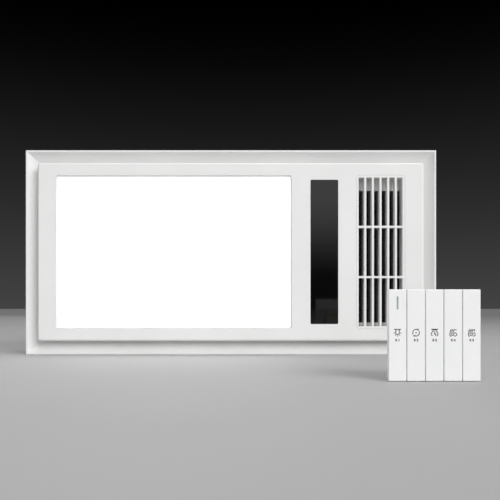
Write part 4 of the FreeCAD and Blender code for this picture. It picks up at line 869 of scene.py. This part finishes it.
def setRivets():
    spots, aims = [], []
    for row in foldRows():
        aim = Vector(row["aim"])
        for place in itertools.product(row["x"], row["y"], row["z"]):
            spots.append(Vector(place) - aim * rivetLook["sunk"])
            aims.append(aim)
    seed = spotMesh("rivetSpots", spots, aims)
    mesh = grow("housing_rivets", seed, buildRivetTree(), {**rivetLook, "finish": finishes["zincPlate"]})
    settle("housing_rivets", mesh, "unit", rivetLook["crease"])
    return len(spots)


print("rivets set:", setRivets())

# pressed end cap of the diverter motor, its skirt cut into tabs
capLook = {
    "wall": 0.0006, "gap": 0.00002, "skirt": 0.004, "tab": 0.0024, "round": 0.0011, "roundSteps": 4,
    "groove": (0.0024, 0.0056), "grooveDeep": 0.0004, "bevel": 0.0006, "boss": 0.0034, "bossTall": 0.0006,
    "steps": 48, "tabs": 6, "tabSteps": 3, "crease": 35,
}


def capProfile(radius):
    # reach and height over the can's end, from the boss out to the skirt's lip and back inside
    outer = radius + capLook["wall"]
    top = capLook["wall"]
    dip = top - capLook["grooveDeep"]
    inner = radius + capLook["gap"]
    edgeOut, edgeIn = [radius - inset for inset in capLook["groove"]]
    bevel = capLook["bevel"]
    points = [(0, top + capLook["bossTall"]), (capLook["boss"], top + capLook["bossTall"])]
    points += [(capLook["boss"] + bevel, top), (edgeIn, top), (edgeIn + bevel, dip)]
    points += [(edgeOut - bevel, dip), (edgeOut, top)]
    for i in range(capLook["roundSteps"] + 1):
        turn = math.pi / 2 * (1 - i / capLook["roundSteps"])
        reach = outer - capLook["round"] * (1 - math.cos(turn))
        points.append((reach, top - capLook["round"] * (1 - math.sin(turn))))
    return points + [(outer, -capLook["skirt"]), (inner, -capLook["skirt"]), (inner, capLook["gap"]),
                     (0, capLook["gap"])]


def addMotorCap():
    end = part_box("diverter_motor")[1].x
    rim = [vert.co for vert in nodes["diverter_motor"].data.vertices if vert.co.x > end - capLook["gap"]]
    left, right = min(point.y for point in rim), max(point.y for point in rim)
    middleY, middleZ = (left + right) / 2, (min(point.z for point in rim) + max(point.z for point in rim)) / 2
    steps = capLook["steps"]
    shape = bmesh.new()
    rings = []
    for reach, height in capProfile((right - left) / 2):
        ring = []
        for i in range(steps if reach else 1):
            turn = 2 * math.pi * i / steps
            onTab = height == -capLook["skirt"] and i % (steps // capLook["tabs"]) < capLook["tabSteps"]
            x = end + height - (capLook["tab"] if onTab else 0)
            y, z = middleY + reach * math.cos(turn), middleZ + reach * math.sin(turn)
            ring.append(shape.verts.new((x, y, z)))
        rings.append(ring)
    for first, second in zip(rings, rings[1:]):
        for i in range(steps):
            j = (i + 1) % steps
            corners = [first[i % len(first)], first[j % len(first)]]
            corners += [second[j % len(second)], second[i % len(second)]]
            shape.faces.new(list(dict.fromkeys(corners)))  # only three of them at the middle
    mesh = meshFrom(shape, "diverter_motor_cap", "zincPlate")
    settle("diverter_motor_cap", mesh, "unit", capLook["crease"])


addMotorCap()
print("motor cap pressed on")

# matt trim that holds the opal sheet, sloping from the plate's face down to the sheet; its grey tone is
# painted shade that darkens the line round the opening
trimLook = {
    "lap": 0.0025, "corner": 0.003, "steps": 8, "gap": 0.00005,
    "crest": (0.0004, 0.0003), "foot": 0.0017, "crease": 30,
}


def roundedOutline(low, high, inset, corner, steps):
    # X and Z points round an opening, moved inwards by the inset
    points = []
    centres = [(high.x, high.z, 0), (low.x, high.z, 90), (low.x, low.z, 180), (high.x, low.z, 270)]
    for x, z, start in centres:
        x += corner if x == low.x else -corner
        z += corner if z == low.z else -corner
        for i in range(steps + 1):
            turn = math.radians(start + 90 * i / steps)
            reach = corner - inset
            points.append((x + reach * math.cos(turn), z + reach * math.sin(turn)))
    return points


def addTrim():
    lap = Vector((trimLook["lap"], 0, trimLook["lap"]))
    low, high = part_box("light_diffuser")
    sheetFace = low.y
    low, high = low + lap, high - lap
    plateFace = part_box("face_plate")[0].y
    crestIn, crestDown = trimLook["crest"]
    profile = [
        (trimLook["gap"], plateFace + 2 * crestDown), (crestIn, plateFace + crestDown),
        (trimLook["foot"], sheetFace), (trimLook["gap"], sheetFace),
    ]
    shape = bmesh.new()
    rings = []
    for inset, level in profile:
        outline = roundedOutline(low, high, inset, trimLook["corner"], trimLook["steps"])
        rings.append([shape.verts.new((x, level, z)) for x, z in outline])
    for first, second in zip(rings, rings[1:] + rings[:1]):
        for i in range(len(first)):
            j = (i + 1) % len(first)
            shape.faces.new((first[i], first[j], second[j], second[i]))
    mesh = meshFrom(shape, "light_trim", "trimShadeGrey")
    settle("light_trim", mesh, "unit", trimLook["crease"])


addTrim()
print("light trim fitted")

# floor, light and camera
stageLook = {
    "tone": (0.46, 0.46, 0.46), "lift": 1.04, "mottle": 3.0, "rough": 0.75, "reach": 40.0, "sides": 96,
}


def buildFloor():
    level = cadBox[0].z
    turns = [2 * math.pi * i / stageLook["sides"] for i in range(stageLook["sides"])]
    mesh = bpy.data.meshes.new("studioFloor")
    reach = stageLook["reach"]
    rim = [(reach * math.cos(turn), reach * math.sin(turn), level) for turn in turns]
    mesh.from_pydata(rim, [], [list(range(len(rim)))])
    floor = bpy.data.objects.new("studioFloor", mesh)
    scene.collection.objects.link(floor)
    mat, tree, shader, spot = startFinish("floorPaint")
    mottle = addNoise(tree, spot, stageLook["mottle"], detail=4.0)
    tone = stageLook["tone"]
    pale = tuple(value * stageLook["lift"] for value in tone)
    join(tree, addRamp(tree, mottle, tone, pale), shader.inputs["Base Color"])
    shader.inputs["Roughness"].default_value = stageLook["rough"]
    mesh.materials.append(mat)


# brightness of the sky, and the directions over which each part of it fades
skyLook = {
    "front": 1.3, "ahead": (-0.5, 0.1), "rise": (0.045, 0.185), "lid": (0.25, 0.6), "lidKeeps": 0.05,
    "side": (-0.6, 0.05), "sideKeeps": 0.2, "base": 0.06, "rear": (0.12, 0.55), "behind": (0.0, 0.5),
    "rearRise": (0.0, 0.8), "horizon": 0.056, "fade": 0.46,
}


def buildSky():
    # a tall soft light before the object, a weak one behind it, and a dark backdrop for the camera alone
    world = bpy.data.worlds.new("studioSky")
    world.use_nodes = True
    scene.world = world
    tree = world.node_tree
    sky = tree.nodes["Background"]
    sky.inputs["Color"].default_value = (1, 1, 1, 1)
    coord = addNode(tree, "ShaderNodeTexCoord")
    split = addNode(tree, "ShaderNodeSeparateXYZ")
    join(tree, coord.outputs["Generated"], split.inputs["Vector"])
    ahead = addRange(tree, split.outputs["Y"], 1.0, 0.0, *skyLook["ahead"], soft=True)
    side = addRange(tree, split.outputs["X"], skyLook["sideKeeps"], 1.0, *skyLook["side"], soft=True)
    rise = addRange(tree, split.outputs["Z"], 0.0, skyLook["front"], *skyLook["rise"], soft=True)
    lid = addRange(tree, split.outputs["Z"], 1.0, skyLook["lidKeeps"], *skyLook["lid"])
    tall = addMath(tree, "MULTIPLY", rise, lid)
    wide = addMath(tree, "MULTIPLY", side, ahead)
    behind = addRange(tree, split.outputs["Y"], 0.0, 1.0, *skyLook["behind"], soft=True)
    dome = addRange(tree, split.outputs["Z"], *skyLook["rear"], *skyLook["rearRise"], soft=True)
    before = addMath(tree, "MULTIPLY", tall, wide)
    after = addMath(tree, "MULTIPLY", behind, dome)
    glow = addMath(tree, "ADD", addMath(tree, "ADD", before, after), skyLook["base"])
    dusk = addRange(tree, split.outputs["Z"], 1.0, 0.0, start=0.0, end=skyLook["fade"])
    backdrop = addMath(tree, "MULTIPLY", addMath(tree, "POWER", dusk, 2.0), skyLook["horizon"])
    seen = addNode(tree, "ShaderNodeLightPath").outputs["Is Camera Ray"]
    shown = addMath(tree, "MULTIPLY", seen, backdrop)
    lighting = addMath(tree, "MULTIPLY", addMath(tree, "SUBTRACT", 1.0, seen), glow)
    join(tree, addMath(tree, "ADD", shown, lighting), sky.inputs["Strength"])


# area lamps aimed at the origin; a lamp that mirrors shows in glossy surfaces
lampLooks = {
    "keyLamp": {"place": (2.3, -3.0, 2.1), "size": (3.6, 2.4), "watts": 26.5, "spread": 70, "mirrors": False},
    "topLamp": {"place": (0.2, -0.55, 2.2), "size": (1.6, 0.3), "watts": 6, "spread": 120, "mirrors": True},
    "fillLamp": {"place": (-2.2, -2.2, 0.3), "size": (1.6, 0.8), "watts": 0.8, "spread": 70, "mirrors": True},
    "rearLamp": {"place": (-2.6, 3.6, 2.2), "size": (5.0, 4.0), "watts": 13, "spread": 100, "mirrors": True},
}


def addLamp(name, look):
    lamp = bpy.data.lights.new(name, "AREA")
    lamp.shape = "RECTANGLE"
    lamp.size, lamp.size_y = look["size"]
    lamp.energy = look["watts"]
    lamp.spread = math.radians(look["spread"])
    holder = bpy.data.objects.new(name, lamp)
    scene.collection.objects.link(holder)
    holder.location = look["place"]
    holder.rotation_euler = (-Vector(look["place"])).to_track_quat("-Z", "Y").to_euler()
    holder.visible_camera = False
    holder.visible_glossy = look["mirrors"]


# a level camera, its lens and sensor in millimetres; the shift keeps uprights straight
cameraLook = {
    "place": (0.0278, -0.906, -0.0805), "lens": 44.5, "sensor": 36, "shiftY": 0.1156, "nearest": 0.01,
}


def buildCamera():
    data = bpy.data.cameras.new("photoCamera")
    data.lens = cameraLook["lens"]
    data.sensor_width = cameraLook["sensor"]
    data.shift_y = cameraLook["shiftY"]
    data.clip_start = cameraLook["nearest"]
    camera = bpy.data.objects.new("photoCamera", data)
    scene.collection.objects.link(camera)
    camera.location = cameraLook["place"]
    camera.rotation_euler = (math.pi / 2, 0, 0)
    scene.camera = camera


buildFloor()
buildSky()
for lampName, look in lampLooks.items():
    addLamp(lampName, look)
buildCamera()
scene.view_settings.view_transform = "Standard"
print("stage, lamps and camera ready")
